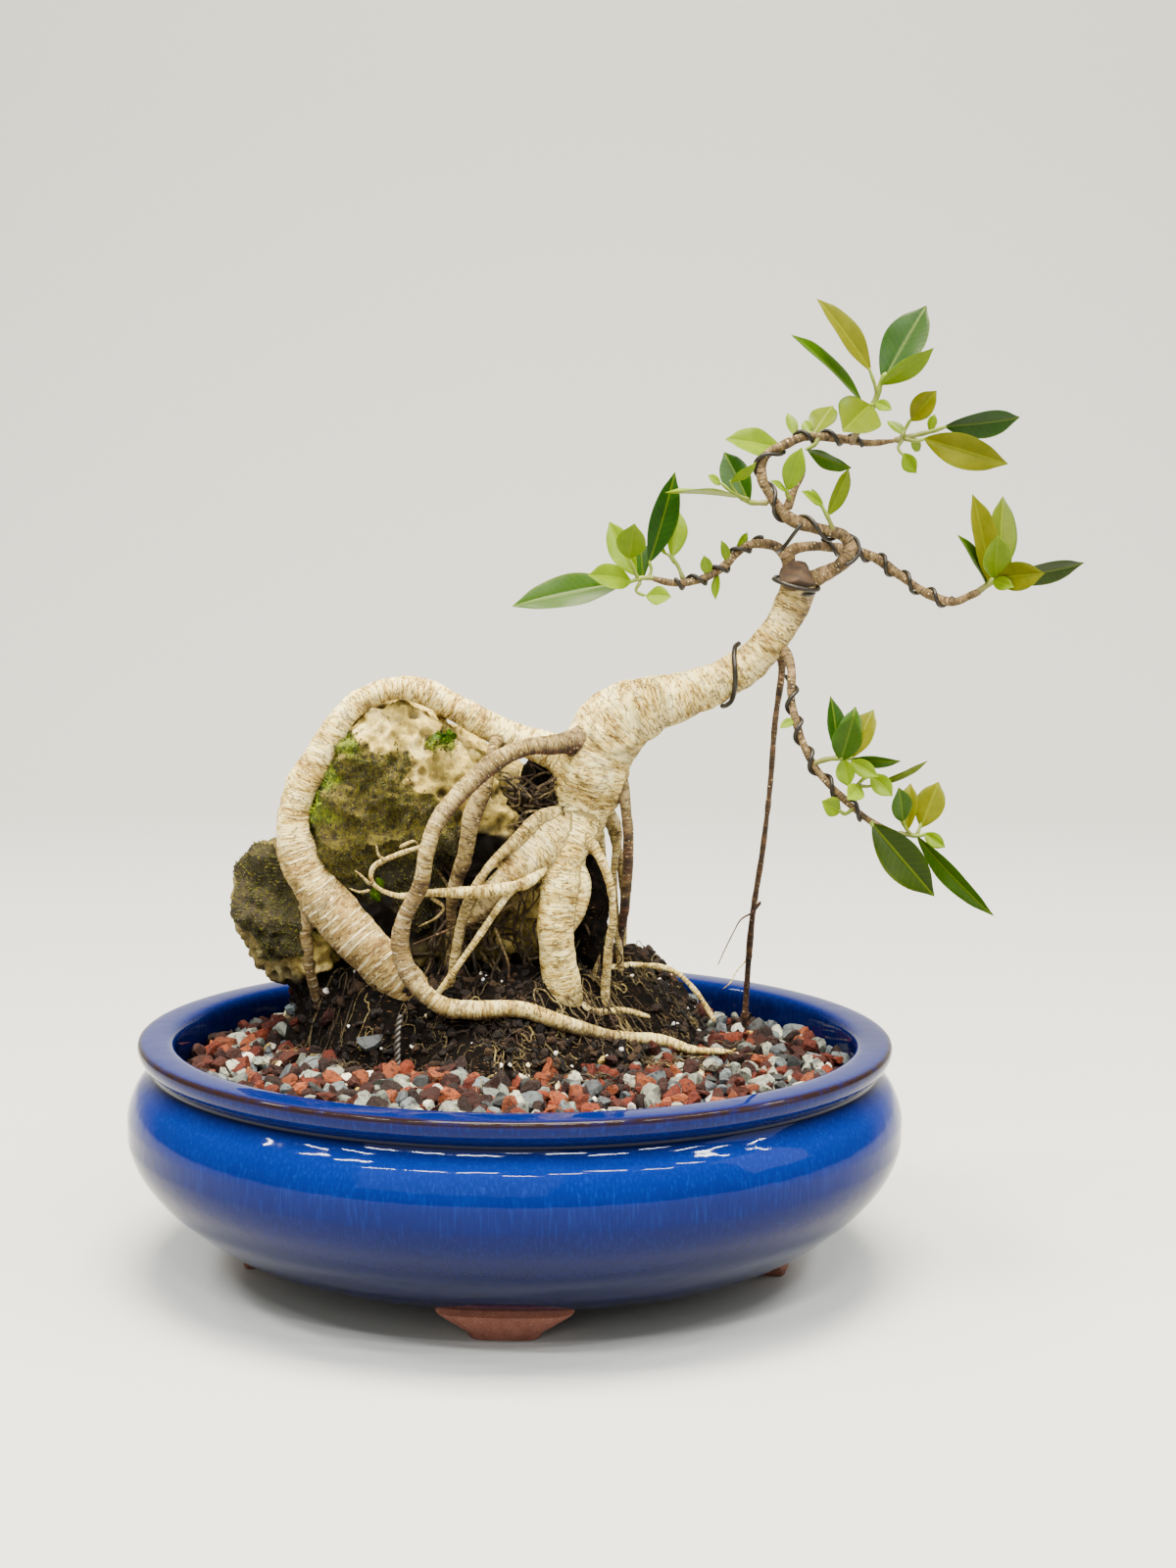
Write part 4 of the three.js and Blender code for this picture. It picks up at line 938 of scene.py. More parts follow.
SHOOTS: dict[str, tuple[list[Rows], list[Leaf]]] = {
    "left_tip": ([
        [(56, -7, 289, 1), (50, -9, 289, 1), (44, -10, 287, 0.8)],
        [(49, -9, 288, 0.8), (47, -11, 293, 0.7), (45, -12, 297, 0.6)],
        [(52, -8, 288, 0.8), (54, -7, 292, 0.7), (53, -7, 296, 0.6)],
        [(50, -9, 288, 0.8), (48, -10, 284, 0.7), (52, -10, 282, 0.6)],
    ], [
        ((43, -10, 287), (-1, -20, 278), 15, 20), ((46, -10, 288), (29, -26, 291), 11, 10),
        ((45, -12, 297), (47, -20, 311), 12, 0), ((48, -10, 290), (37, 2, 311), 11, -25),
        ((51, -8, 289), (50, 8, 301), 12, -40), ((53, -7, 295), (63, -2, 331), 12, 25),
        ((52, -10, 282), (62, -14, 282), 8, -10),
    ]),
    "left_middle": ([
        [(67, -3, 288, 1), (65, -2, 293, 0.8), (62, -1, 298, 0.6)], [(64, -1, 294, 0.7), (60, -2, 299, 0.5)],
    ], [
        ((62, -1, 297), (64, 10, 317), 11, 35), ((60, -2, 298), (56, -5, 302), 3, 40),
    ]),
    "upper_left": ([
        [(101, 2, 319, 1.2), (94, 1, 319, 1.1), (89, -2, 321, 0.9)],
        [(93, 0, 320, 0.8), (86, -5, 323, 0.7), (81, -6, 327, 0.6)],
        [(88, -3, 322, 0.7), (86, -4, 325, 0.6), (85, -4, 328, 0.6)],
    ], [
        ((90, -2, 321), (59, -14, 323), 12, 75), ((93, 0, 319), (83, 10, 339), 12, -15),
        ((85, -4, 327), (95, -10, 335), 5, 50), ((81, -6, 326), (76, -7, 330), 4, 20),
    ]),
    "crown_low": ([
        [(127, 0, 308, 1), (124, -2, 314, 0.9), (121, -3, 319, 0.7)],
    ], [
        ((124, -2, 314), (133, 6, 333), 8, 35), ((122, -3, 318), (113, -10, 324), 5, 20),
        ((122, -3, 317), (118, 3, 325), 4, 60),
    ]),
    "spur": ([
        [(111, 3, 320, 1), (108, 0, 322, 0.9), (108, -1, 325, 0.7)],
    ], [
        ((108, -1, 324), (113, -6, 341), 9, -10), ((108, -1, 323), (101, -5, 328), 4, 35),
    ]),
    "crown_middle": ([
        [(121, 12, 345, 1.1), (119, 7, 342, 0.9), (115, 5, 340, 0.7)],
        [(121, 13, 345, 1), (117, 16, 347, 0.9), (111, 16, 345, 0.7)],
        [(113, 16, 345, 0.7), (109, 14, 342, 0.6), (106, 13, 340, 0.6)],
    ], [
        ((107, 13, 340), (83, 4, 344), 13, 20), ((116, 5, 340), (133, -5, 333), 9, 60),
        ((112, 16, 345), (109, 22, 355), 5, 15), ((118, 16, 347), (116, 20, 352), 5, -20),
        ((119, 15, 346), (128, 29, 358), 11, -20),
    ]),
    "crown_top": ([
        [(134, 14, 342, 1.6), (139, 12, 352, 1.5), (143, 10, 359, 1.4), (145, 9, 366, 1.2),
         (147, 8, 371, 1)],
        [(140, 12, 354, 0.8), (139, 10, 357, 0.7), (138, 9, 360, 0.6)],
        [(144, 9, 362, 0.8), (142, 8, 368, 0.7), (140, 8, 373, 0.6)],
        [(143, 10, 358, 0.8), (141, 5, 358, 0.7)],
    ], [
        ((138, 9, 359), (108, -2, 385), 13, 50), ((141, 8, 371), (118, 0, 399), 14, 35),
        ((146, 9, 367), (164, 20, 398), 17, -15), ((145, 8, 366), (164, -6, 380), 9, 40),
        ((141, 6, 358), (128, -16, 347), 19, 0), ((143, 8, 359), (149, 0, 356), 5, 10),
    ]),
    "crown_right": ([
        [(152, 19, 344, 1.2), (160, 21, 346, 1.1), (168, 22, 348, 1), (174, 22, 350, 0.8)],
        [(155, 19, 345, 0.9), (157, 20, 349, 0.8), (159, 18, 353, 0.6)],
        [(156, 20, 345, 0.9), (161, 17, 344, 0.8), (165, 16, 345, 0.6)],
        [(156, 20, 345, 0.9), (154, 18, 341, 0.7), (156, 16, 338, 0.6)],
    ], [
        ((159, 18, 352), (168, 12, 364), 10, -10), ((164, 16, 345), (196, 2, 335), 14, 25),
        ((173, 22, 350), (205, 30, 354), 13, 45), ((156, 16, 339), (161, 13, 331), 7, 35),
        ((157, 19, 346), (150, 26, 352), 5, 20), ((167, 22, 348), (169, 23, 355), 4, 0),
        ((159, 20, 345), (164, 27, 340), 5, 0),
    ]),
    "right_tip": ([
        [(187, 13, 283, 1.3), (193, 12, 288, 1.5), (196, 12, 291, 1.2)],
    ], [
        ((192, 12, 287), (183, 8, 323), 14, 30), ((195, 13, 289), (198, 24, 322), 13, 15),
        ((194, 11, 289), (192, -2, 307), 12, 0), ((191, 12, 286), (177, 4, 307), 9, 50),
        ((194, 11, 289), (211, -4, 292), 12, 15), ((195, 13, 289), (233, 26, 295), 11, 45),
        ((193, 11, 288), (200, 2, 286), 6, 10),
    ]),
    "hanging_upper": ([
        [(118, -15, 215, 1.2), (124, -18, 218, 1.1), (131, -20, 219, 1), (135, -21, 219, 0.8)],
    ], [
        ((130, -20, 218), (134, -28, 237), 12, 0), ((129, -19, 218), (126, -12, 243), 10, 35),
        ((132, -20, 218), (136, -14, 239), 10, -20), ((134, -21, 219), (143, -16, 238), 12, -30),
        ((131, -20, 219), (133, -24, 208), 8, 20), ((134, -21, 219), (153, -28, 219), 6, 45),
        ((134, -21, 218), (144, -30, 213), 7, 15),
    ]),
    "hanging_middle": ([
        [(133, -19, 202, 1), (136, -21, 207, 0.9), (139, -22, 211, 0.8), (143, -22, 213, 0.7)],
        [(137, -21, 208, 0.8), (141, -22, 208, 0.7), (145, -22, 209, 0.6)],
    ], [
        ((142, -22, 213), (150, -28, 205), 8, 10), ((144, -22, 209), (165, -18, 218), 5, 55),
        ((138, -22, 208), (132, -31, 204), 8, 0),
    ]),
    "hanging_left": ([
        [(136, -19, 199, 1), (132, -23, 197, 0.8), (129, -25, 199, 0.7)],
    ], [
        ((130, -24, 198), (122, -29, 203), 8, 0),
    ]),
    "hanging_big": ([
        [(143, -19, 194, 1.2), (143, -23, 192, 0.9)],
    ], [
        ((143, -22, 193), (167, -33, 166), 16, 15),
    ]),
    "hanging_tip": ([
        [(153, -20, 189, 1.1), (162, -20, 188, 0.9), (165, -20, 189, 0.8)],
        [(159, -20, 188, 0.8), (156, -21, 192, 0.7), (155, -22, 196, 0.6)],
        [(161, -20, 188, 0.8), (162, -19, 190, 0.7), (163, -18, 193, 0.6)],
    ], [
        ((155, -22, 194), (152, -30, 209), 9, 10), ((157, -21, 190), (159, -12, 208), 9, -30),
        ((163, -18, 191), (170, -14, 209), 12, -10), ((164, -20, 189), (172, -24, 184), 6, 10),
        ((161, -20, 188), (191, -32, 158), 10, 45),
    ]),
}

# Tones of the leaves of each shoot, in the order above
TONES: dict[str, str] = {
    "left_tip": "FYYYDBY",
    "left_middle": "YY",
    "upper_left": "YDYY",
    "crown_low": "PYY",
    "spur": "YY",
    "crown_middle": "YFYYP",
    "crown_top": "FODYPY",
    "crown_right": "OODYYYY",
    "right_tip": "OPYFOEY",
    "hanging_upper": "FDFOYFY",
    "hanging_middle": "YPY",
    "hanging_left": "Y",
    "hanging_big": "E",
    "hanging_tip": "FOOYF",
}
TONE_LETTERS = {"F": Tone.FRESH, "Y": Tone.YOUNG, "D": Tone.DARK, "E": Tone.DEEP, "O": Tone.OLIVE,
                "B": Tone.BLUISH, "P": Tone.PALE}


@dataclass
class Pot:
    """Oval pot with a rolled rim over a groove, a low belly and four feet."""

    half_length: ClassVar[float] = 155.0
    half_width: ClassVar[float] = 124.0
    # Height and offset from the rim's ellipse of places on the wall, up the outside and down the inside
    outside: ClassVar[Rows] = (
        (10, -47), (11.2, -42.5), (14, -36), (21, -24.5), (29, -15), (38, -5.6), (49, 2), (60, 5.4), (71, 5),
        (80, 1.5), (86, -3.6), (88.5, -5), (90.5, -4), (93, -1), (97, 0.6), (99.3, 0.2), (100, -1.4),
    )
    inside: ClassVar[Rows] = (
        (100, -11), (99.2, -13.2), (97, -14.5), (88, -14), (64, -7), (42, -15), (26, -34), (18, -54),
    )
    # Height, half width, outer offset and inner offset of the feet's levels
    foot_levels: ClassVar[Rows] = (
        (0, 13, -41, -53), (3, 15, -40, -54), (7, 22, -39, -56), (10, 27, -38.5, -57), (13, 29, -42, -58),
    )
    sides: int = 180
    belly: float = 5.4
    drain_radius: float = 10.0
    drain_spacing: float = 90.0

    @classmethod
    def oval(cls, angle: Array, offset: Array | float, height: Array | float) -> Array:
        """Points round the rim's ellipse, moved outwards by an offset, at a height."""
        x, y = (cls.half_length + offset) * np.cos(angle), (cls.half_width + offset) * np.sin(angle)
        return np.stack(np.broadcast_arrays(x, y, height), axis=-1)

    def wall(self) -> Shape:
        """The turned body: a smooth line through the wall's places, held to the belly's offset, carried round
        the rim's ellipse, and closed below and on the floor by rings that shrink to the middle.

        Returns:
            The body, with the value of glaze pooling and painted shade (1 in the groove under the rim, 0.8 at
            the foot, 0.35 of painted shade inside the pot) and the value break (1 on the rim's edge).
        """
        line = route([(offset, height, 0.0, 1.0) for height, offset in self.outside + self.inside], 1.1)
        offset, height = np.minimum(line.points[:, 0], self.belly), line.points[:, 1]
        share = np.linspace(0.0, 1.0, 9)[1:-1]
        outer = np.arange(len(height) + 14) < 7 + len(height) // 2
        offset = np.concatenate([offset[0] - (1 - share) * 76.0, offset, offset[-1] - share * 69.0])
        height = np.concatenate([np.full(7, height[0]), height, np.full(7, height[-1])])
        rim = np.hypot(offset - 0.1, height - 99.0)
        edge = np.exp(-((rim / 1.5) ** 4))
        # Glaze gathers in the groove under the rim and at the foot, and painted shade darkens those places and
        # the inside.
        groove = np.exp(-(((height - 88.3) / 2.4) ** 2)) * outer + 0.8 * np.exp(-(((height - 11) / 4) ** 2))
        inner = np.where(~outer & (height < 99), 0.35, 0.0)
        shape = loft(self.oval(round_turn(self.sides), offset[:, None], height[:, None]))
        spread = np.ones((1, self.sides))
        pool = np.clip(groove + inner, 0, 1)[:, None] * spread
        return shape.tagged(**{"break": capped_values(edge[:, None] * spread), "pool": capped_values(pool)})

    def feet(self) -> Shape:
        """Four feet: levels with round ends that follow the pot's ellipse, wider at the top.

        Returns:
            The feet in one shape.
        """
        levels = np.array(self.foot_levels)
        heights = np.linspace(0, 13, 14)
        half, outer, inner = (np.interp(heights, levels[:, 0], levels[:, k]) for k in (1, 2, 3))
        mean, sweep = ((outer + inner) / 2)[:, None], np.linspace(-1, 1, 25)
        swell = 1.0 - 0.25 * np.abs(sweep) ** 6
        feet = []
        for quarter in range(4):
            width = half / ((self.half_length if quarter % 2 else self.half_width) + outer)
            feet.append(loft(np.concatenate([
                self.oval(quarter * np.pi / 2 + width[:, None] * ways, mean + (offset[:, None] - mean) * swell,
                          heights[:, None])
                for offset, ways in ((outer, sweep), (inner, -sweep))
            ], axis=1)))
        return joined(feet)

    def drill(self, body: bpy.types.Object) -> None:
        """Cut the two drain holes through the floor of the finished body.

        Args:
            body: the body's piece.
        """
        turn = round_turn(48)
        for middle in (-self.drain_spacing / 2, self.drain_spacing / 2):
            x, y = middle + self.drain_radius * np.cos(turn), self.drain_radius * np.sin(turn)
            rings = np.stack([np.column_stack([x, y, np.full(48, z)]) for z in (4.0, 24.0)])
            cutter = MAKER.placed("bore", MAKER.mesh("bore", loft(rings)))
            cut = body.modifiers.new("drain", "BOOLEAN")
            cut.operation, cut.object, cut.solver = "DIFFERENCE", cutter, "EXACT"
            holed = MAKER.baked(body)
            body.modifiers.clear()
            body.data = holed
            bpy.data.objects.remove(cutter)
        body.data.set_sharp_from_angle(angle=math.radians(50))

    def build(self) -> None:
        """Make the body and the feet, and finish the drain screens."""
        self.drill(MAKER.piece("pot_body", self.wall(), CobaltGlaze("Cobalt glazed stoneware"), "pot", "pot"))
        MAKER.piece("pot_feet", self.feet(), BareClay("Unglazed clay"), "pot", "pot", 40.0)
        for side in ("left", "right"):
            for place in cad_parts[f"drain_screen_{side}"].material_slots:
                place.material = Screen("Black polyethylene mesh").material()


@dataclass(frozen=True)
class Grit:
    """One kind of loose bits: finish, colours, mean radii in millimetres, how many planes cut each bit, how
    rough it is as a share of its radius, the seed of its forms, and whether its colours vary in light."""

    finish: Pebble
    codes: tuple[str, ...]
    radii: tuple[float, float]
    facets: int
    rough: float
    seed: int = 31
    varied: bool = True


GRAVEL = {
    "gravel_lava": Grit(Pebble("Crushed lava", 650.0, 0.7, 0.9),
                        ("#5c2715", "#6e351c", "#482010", "#3a190f", "#804a2c", "#2b1811"), (2.8, 5.2), 5, 0.3),
    "gravel_granite": Grit(Pebble("Crushed granite", 500.0, 0.2, 0.65),
                           ("#787c74", "#8a8c80", "#565b5e", "#a6a596", "#686f70", "#3c4040", "#7f847b"),
                           (2.9, 5.5), 8, 0.05),
    "gravel_pale": Grit(Pebble("Pumice and quartz bits", 800.0, 0.3, 0.8),
                        ("#cfc9b8", "#e2dccb", "#b8a05a", "#d8c9a0", "#bdb9b0"), (1.6, 3.1), 6, 0.08),
}
CRUMBS = Grit(Pebble("Peat crumbs", 900.0, 0.5, 0.95), ("#0e0804", "#190f07", "#2b1c0d", "#060302"),
              (0.7, 2.5), 4, 0.3, 41, False)
PERLITE = Grit(Pebble("Perlite", 900.0, 0.2, 0.9), ("#e9e4d6", "#d9d2bf", "#f2efe6", "#c9b98f"),
               (0.5, 1.5), 5, 0.2, 42, False)


@dataclass
class Ground:
    """What fills the pot: soil, with the mound that the root ball makes, and gravel round it."""

    level: float = 82.0
    gravel_level: float = 86.5
    mound_height: float = 40.0
    centre: tuple[float, float] = (-6.0, 32.0)
    reach: tuple[float, ...] = (92, 100, 76, 68, 74, 90, 97, 80, 65, 67, 66, 74)
    wall_gap: float = 0.4
    sides: int = 400

    def foot(self, angle: Array) -> Array:
        """Way from the mound's centre to its foot, eased by cosines between the twelve given ways."""
        at = ((angle / (2 * np.pi) + 2) % 1) * 12
        first = np.floor(at).astype(int)
        share = (1 - np.cos((at - first) * np.pi)) / 2
        ways = np.array(self.reach)
        return ways[first % 12] * (1 - share) + ways[(first + 1) % 12] * share

    def height(self, x: Array, y: Array) -> Array:
        """Height of the soil: level outside the mound, and inside it a bank that rises as 1 less the power
        1.3 of what is left, on gentle sine lumps.

        Args:
            x: places to the right.
            y: places to the back.

        Returns:
            Height above the table.
        """
        dx, dy = x - self.centre[0], y - self.centre[1]
        angle, way = np.arctan2(dy, dx), np.hypot(dx, dy)
        bank = 18 + 26 * np.maximum(0, np.cos(angle)) ** 4 - 6 * np.maximum(0, -np.cos(angle)) ** 2
        bank = bank + 12 * np.maximum(0, -np.sin(angle)) ** 4
        rise = np.clip((self.foot(angle) - way) / bank, 0, 1)
        lump = 1.6 * np.sin(x * 0.19 + 1) * np.sin(y * 0.23) + 1.2 * np.sin(x * 0.07 + y * 0.11)
        return self.level + self.mound_height * (1 - (1 - rise) ** 1.3) + lump * rise

    def soil(self) -> Shape:
        """Soil as one closed surface: rings that fill the pot, then rings across to the mound and over it.
        The open part is pushed up and down by crumbs of 5 mm, 2.5 mm and 1.2 mm.

        Returns:
            The soil.
        """
        angle = round_turn(self.sides)
        heights, offsets = np.array(Pot.inside[:1:-1]).T
        deep = np.append(np.arange(18.4, 81, 6.0), 81.5)
        rings = [Pot.oval(angle, np.interp(z, heights, offsets) - self.wall_gap, z) for z in deep]
        middle = np.array([*self.centre, 0.0])
        spoke = np.column_stack([np.cos(angle), np.sin(angle), 0 * angle]) * self.foot(angle)[:, None]
        for share in np.linspace(0.1, 1, 8):
            rings.append(rings[len(deep) - 1] * (1 - share) + (middle + spoke) * share)
        rings += [middle + spoke * (1 - share) for share in np.linspace(0, 1, 74)[1:-1]]
        grid = np.stack(rings)
        x, y = grid[..., 0], grid[..., 1]
        level = self.height(x, y)
        flat = np.stack([x, y, level], axis=-1)
        crumb = 1.5 * noise(flat, 5.0, 5, 3) + 1.2 * noise(flat, 14.0, 9)
        on_mound = blend_step(self.level + 0.2, self.level + 6, level)
        rough = np.minimum(level + crumb * on_mound * 1.3, self.below_roots(flat))
        grid[len(deep):, :, 2] = rough[len(deep):]
        return loft(grid)

    def below_roots(self, points: Array) -> Array:
        """Highest that the soil may stand at each place, so that the roots which lie on it stay bare: a
        third of the root's radius under its heart, and rising steeply beside it.

        Args:
            points: places, of which only x and y count.

        Returns:
            The height, or a great one away from the roots.
        """
        rows = {**HEAVY_LIMBS, **SLENDER_ROOTS}
        lines = [route(rows[name], 2.5) for name in ("running_root", "front_side_root", "right_side_root")]
        places = np.vstack([line.points for line in lines])
        radius = np.concatenate([line.radius for line in lines])
        flat = np.abs(np.vstack([line.along for line in lines])[:, 2]) < 0.6
        places, radius = places[flat], radius[flat]
        way = np.linalg.norm(points[..., None, :2] - places[:, :2], axis=-1)
        limit = places[:, 2] - radius * 0.35 + np.maximum(0, way - radius) * 1.6
        return limit.min(axis=-1)

    def spots(self, count: int, seed: int, low: float, high: float) -> Array:
        """Scatter places on the mound, evenly in angle, between two shares of the way to its foot.

        Args:
            count: how many.
            seed: for the scatter.
            low: least share of the way.
            high: greatest share of the way.

        Returns:
            Places on the soil.
        """
        random = np.random.default_rng(seed)
        angle = random.uniform(0, 2 * np.pi, count)
        way = self.foot(angle) * np.sqrt(random.uniform(low * low, high * high, count))
        x, y = self.centre[0] + way * np.cos(angle), self.centre[1] + way * np.sin(angle)
        return np.column_stack([x, y, self.height(x, y)])

    def stones(self, centres: Array, sizes: Array, grit: Grit) -> Shape:
        """Crushed stones: small balls of 80 faces, squeezed, cut flat by random planes, roughened and turned.

        Args:
            centres: middles of the stones.
            sizes: their mean radii.
            grit: their kind.

        Returns:
            All the stones in one shape.
        """
        random = np.random.default_rng(grit.seed)
        count = len(centres)
        corners, faces = ball(1)
        points = np.repeat(corners[None], count, axis=0)
        for _ in range(grit.facets):
            plane = unit(random.normal(size=(count, 1, 3)))
            over = (points * plane).sum(-1, keepdims=True) - random.uniform(0.35, 0.72, (count, 1, 1))
            points = points - plane * np.maximum(0, over)
        points *= random.uniform(0.72, 1.3, (count, 1, 3))
        shift = random.uniform(0, 900, (count, 1, 3))
        points *= 1 + grit.rough * noise(points * 1.4 + shift, 1.0, 3)[..., None]
        turn = unit(random.normal(size=(count, 4)))[:, None]
        cross = np.cross(turn[..., 1:], points)
        points = points + 2 * (turn[..., :1] * cross + np.cross(turn[..., 1:], cross))
        return copies(centres[:, None] + points * sizes[:, None, None], faces)

    def strew(self, name: str, at: Array, grit: Grit, random: np.random.Generator, node: str) -> None:
        """Lay bits of one kind at the given places.

        Args:
            name: name of the piece.
            at: middles of the bits.
            grit: their kind.
            random: draws their colours and sizes.
            node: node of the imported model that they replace, which is also its slot.
        """
        tints = picked(random, grit.codes, len(at))
        if grit.varied:
            tints = tints**1.3 * random.uniform(0.7, 1.35, (len(at), 1))
        shape = self.stones(at, random.uniform(*grit.radii, len(at)), grit)
        shape.tagged(tint=np.repeat(tints, len(shape.vertices) // len(at), axis=0))
        MAKER.piece(name, shape, grit.finish, node, node, None if node == "gravel" else 28.0)

    def gravel_places(self, spacing: float, height: float, seed: int) -> Array:
        """Jittered rows of places wherever there is no mound, and some on its skirt.

        Args:
            spacing: mean distance of the stones.
            height: mean height of their middles.
            seed: for the jitter.

        Returns:
            The places.
        """
        random = np.random.default_rng(seed)
        x, y = np.meshgrid(np.arange(-140, 141, spacing), np.arange(-112, 113, spacing * 0.87))
        x = x + (np.arange(x.shape[0]) % 2)[:, None] * spacing / 2
        at = np.column_stack([x.ravel(), y.ravel(), np.full(x.size, height)])
        at[:, :2] += random.uniform(-0.32, 0.32, (len(at), 2)) * spacing
        at[:, 2] += random.uniform(-0.8, 0.9, len(at))
        inside = np.hypot(at[:, 0] / 137.5, at[:, 1] / 106.5) < 1
        dx, dy = at[:, 0] - self.centre[0], at[:, 1] - self.centre[1]
        bare = np.hypot(dx, dy) > self.foot(np.arctan2(dy, dx)) - random.uniform(0, 4, len(at))
        return at[inside & bare]

    def gravel(self) -> None:
        """Lay the stones: more than half are lava, a third granite, and a few white, cream or yellow."""
        random = np.random.default_rng(11)
        upper = self.gravel_places(6.7, self.gravel_level + 0.4, 3)
        lower = self.gravel_places(7.2, self.gravel_level - 3.4, 4)
        skirt = self.spots(130, 5, 0.93, 1.03)
        skirt[:, 2] = np.maximum(skirt[:, 2], self.gravel_level) + 1.5
        places = np.vstack([upper, lower, skirt])
        draw = random.uniform(size=len(places))
        lava = draw < 0.56 + noise(places * np.array([1, 1, 0.0]), 16.0, 21) * 0.12
        for (name, grit), chosen in zip(GRAVEL.items(), (lava, ~lava & (draw < 0.93), draw >= 0.93)):
            self.strew(name, places[chosen], grit, random, "gravel")

    def crumbs(self) -> None:
        """Scatter dark crumbs and white perlite bits over the mound, where no root lies."""
        random = np.random.default_rng(8)
        crumbs = np.vstack([self.spots(900, 12, 0.2, 1.02), self.spots(700, 13, 0.72, 1.02)])
        crumbs[:, 2] += random.uniform(-0.2, 1.2, len(crumbs))
        perlite = np.vstack([self.spots(50, 14, 0.3, 1.0), self.spots(70, 15, 0.75, 1.04)])
        perlite[:, 2] += 0.9
        for name, at, grit in (("soil_crumbs", crumbs, CRUMBS), ("perlite", perlite, PERLITE)):
            self.strew(name, at[at[:, 2] < self.below_roots(at) + 0.5], grit, random, "soil")

    def fine_roots(self) -> None:
        """Fine roots that wander down the mound: steps outwards with a turn that noise gives each of them,
        lifted a little off the soil in low waves."""
        random = np.random.default_rng(23)
        # How many more start in each box: low x, high x, low y, high y
        boxes = ((26, -92, -44, -24, 14), (120, 26, 80, -14, 40), (70, -50, 34, -30, -12))
        starts = np.vstack([self.spots(80, 24, 0.45, 1.0)] + [
            np.column_stack([
                random.uniform(left, right, many), random.uniform(front, back, many), np.zeros(many),
            ])
            for many, left, right, front, back in boxes
        ])
        count, steps = len(starts), 18
        angle = np.arctan2(starts[:, 1] - 24, starts[:, 0] + 6) + random.choice([-1.2, 0, 1.2], count)
        angle[-70:] = random.choice([0.0, np.pi], 70)
        angle[80:-70] += random.choice([-1.4, 1.4], 146)
        angle = angle + random.normal(0, 0.6, count)
        turning = random.normal(0, 0.25, (count, 1)) + random.normal(0, 0.6, (count, steps))
        heading = angle[:, None] + np.cumsum(turning, axis=1)
        length = random.uniform(0.6, 2.3, (count, 1))
        x = starts[:, :1] + np.cumsum(np.cos(heading) * length, axis=1)
        flat = np.where(np.arange(count) < 80, 1.0, 0.4)[:, None]
        y = starts[:, 1:2] + np.cumsum(np.sin(heading) * length * flat, axis=1)
        phase = random.uniform(0, 6, (count, 1))
        lift = np.abs(np.sin(np.arange(steps) * 0.6 + phase)) * random.uniform(0.4, 3.2, (count, 1))
        z = np.maximum(self.height(x, y), self.gravel_level + 2) + lift - 0.4
        thick = random.uniform(0.16, 0.5, count) * random.choice([0.8, 1.0, 1.35], count)
        roots = [
            thin_root(places, np.linspace(1.0, 0.45, steps) * radius, 1.6, 5,
                      float(random.uniform(0.3, 1.0)), float(random.uniform(0.35, 0.95) ** 0.7))
            for places, radius in zip(np.stack([x, y, z], axis=-1), thick)
        ]
        MAKER.piece("fine_roots", joined(roots), FigBark("Fine root bark"), "soil", "bark")

    def build(self) -> None:
        """Make the soil, the crumbs, the fine roots and the gravel."""
        MAKER.piece("soil_body", self.soil(), PeatSoil("Peaty soil"), "soil", "soil", None)
        self.crumbs()
        self.fine_roots()
        self.gravel()


def ball(levels: int) -> tuple[Array, Faces]:
    """A round ball of triangles: the twenty-faced solid with each face split in four, once per level.

    Args:
        levels: how often the faces are split.

    Returns:
        Corners of length one, and faces that face outwards.
    """
    g = (1 + 5**0.5) / 2
    corners = unit(np.array([
        (-1, g, 0), (1, g, 0), (-1, -g, 0), (1, -g, 0), (0, -1, g), (0, 1, g), (0, -1, -g), (0, 1, -g),
        (g, 0, -1), (g, 0, 1), (-g, 0, -1), (-g, 0, 1),
    ], dtype=float))
    faces = np.array([
        (0, 11, 5), (0, 5, 1), (0, 1, 7), (0, 7, 10), (0, 10, 11), (1, 5, 9), (5, 11, 4), (11, 10, 2),
        (10, 7, 6), (7, 1, 8), (3, 9, 4), (3, 4, 2), (3, 2, 6), (3, 6, 8), (3, 8, 9), (4, 9, 5), (2, 4, 11),
        (6, 2, 10), (8, 6, 7), (9, 8, 1),
    ], dtype=np.int64)
    for _ in range(levels):
        edges = np.sort(np.concatenate([faces[:, [0, 1]], faces[:, [1, 2]], faces[:, [2, 0]]]), axis=1)
        kept, back = np.unique(edges, axis=0, return_inverse=True)
        ab, bc, ca = back.reshape(3, -1) + len(corners)
        corners = np.vstack([corners, unit(corners[kept].mean(axis=1))])
        a, b, c = faces.T
        parts = ((a, ab, ca), (b, bc, ab), (c, ca, bc), (ab, bc, ca))
        faces = np.concatenate([np.stack(part, axis=-1) for part in parts])
    return corners, faces


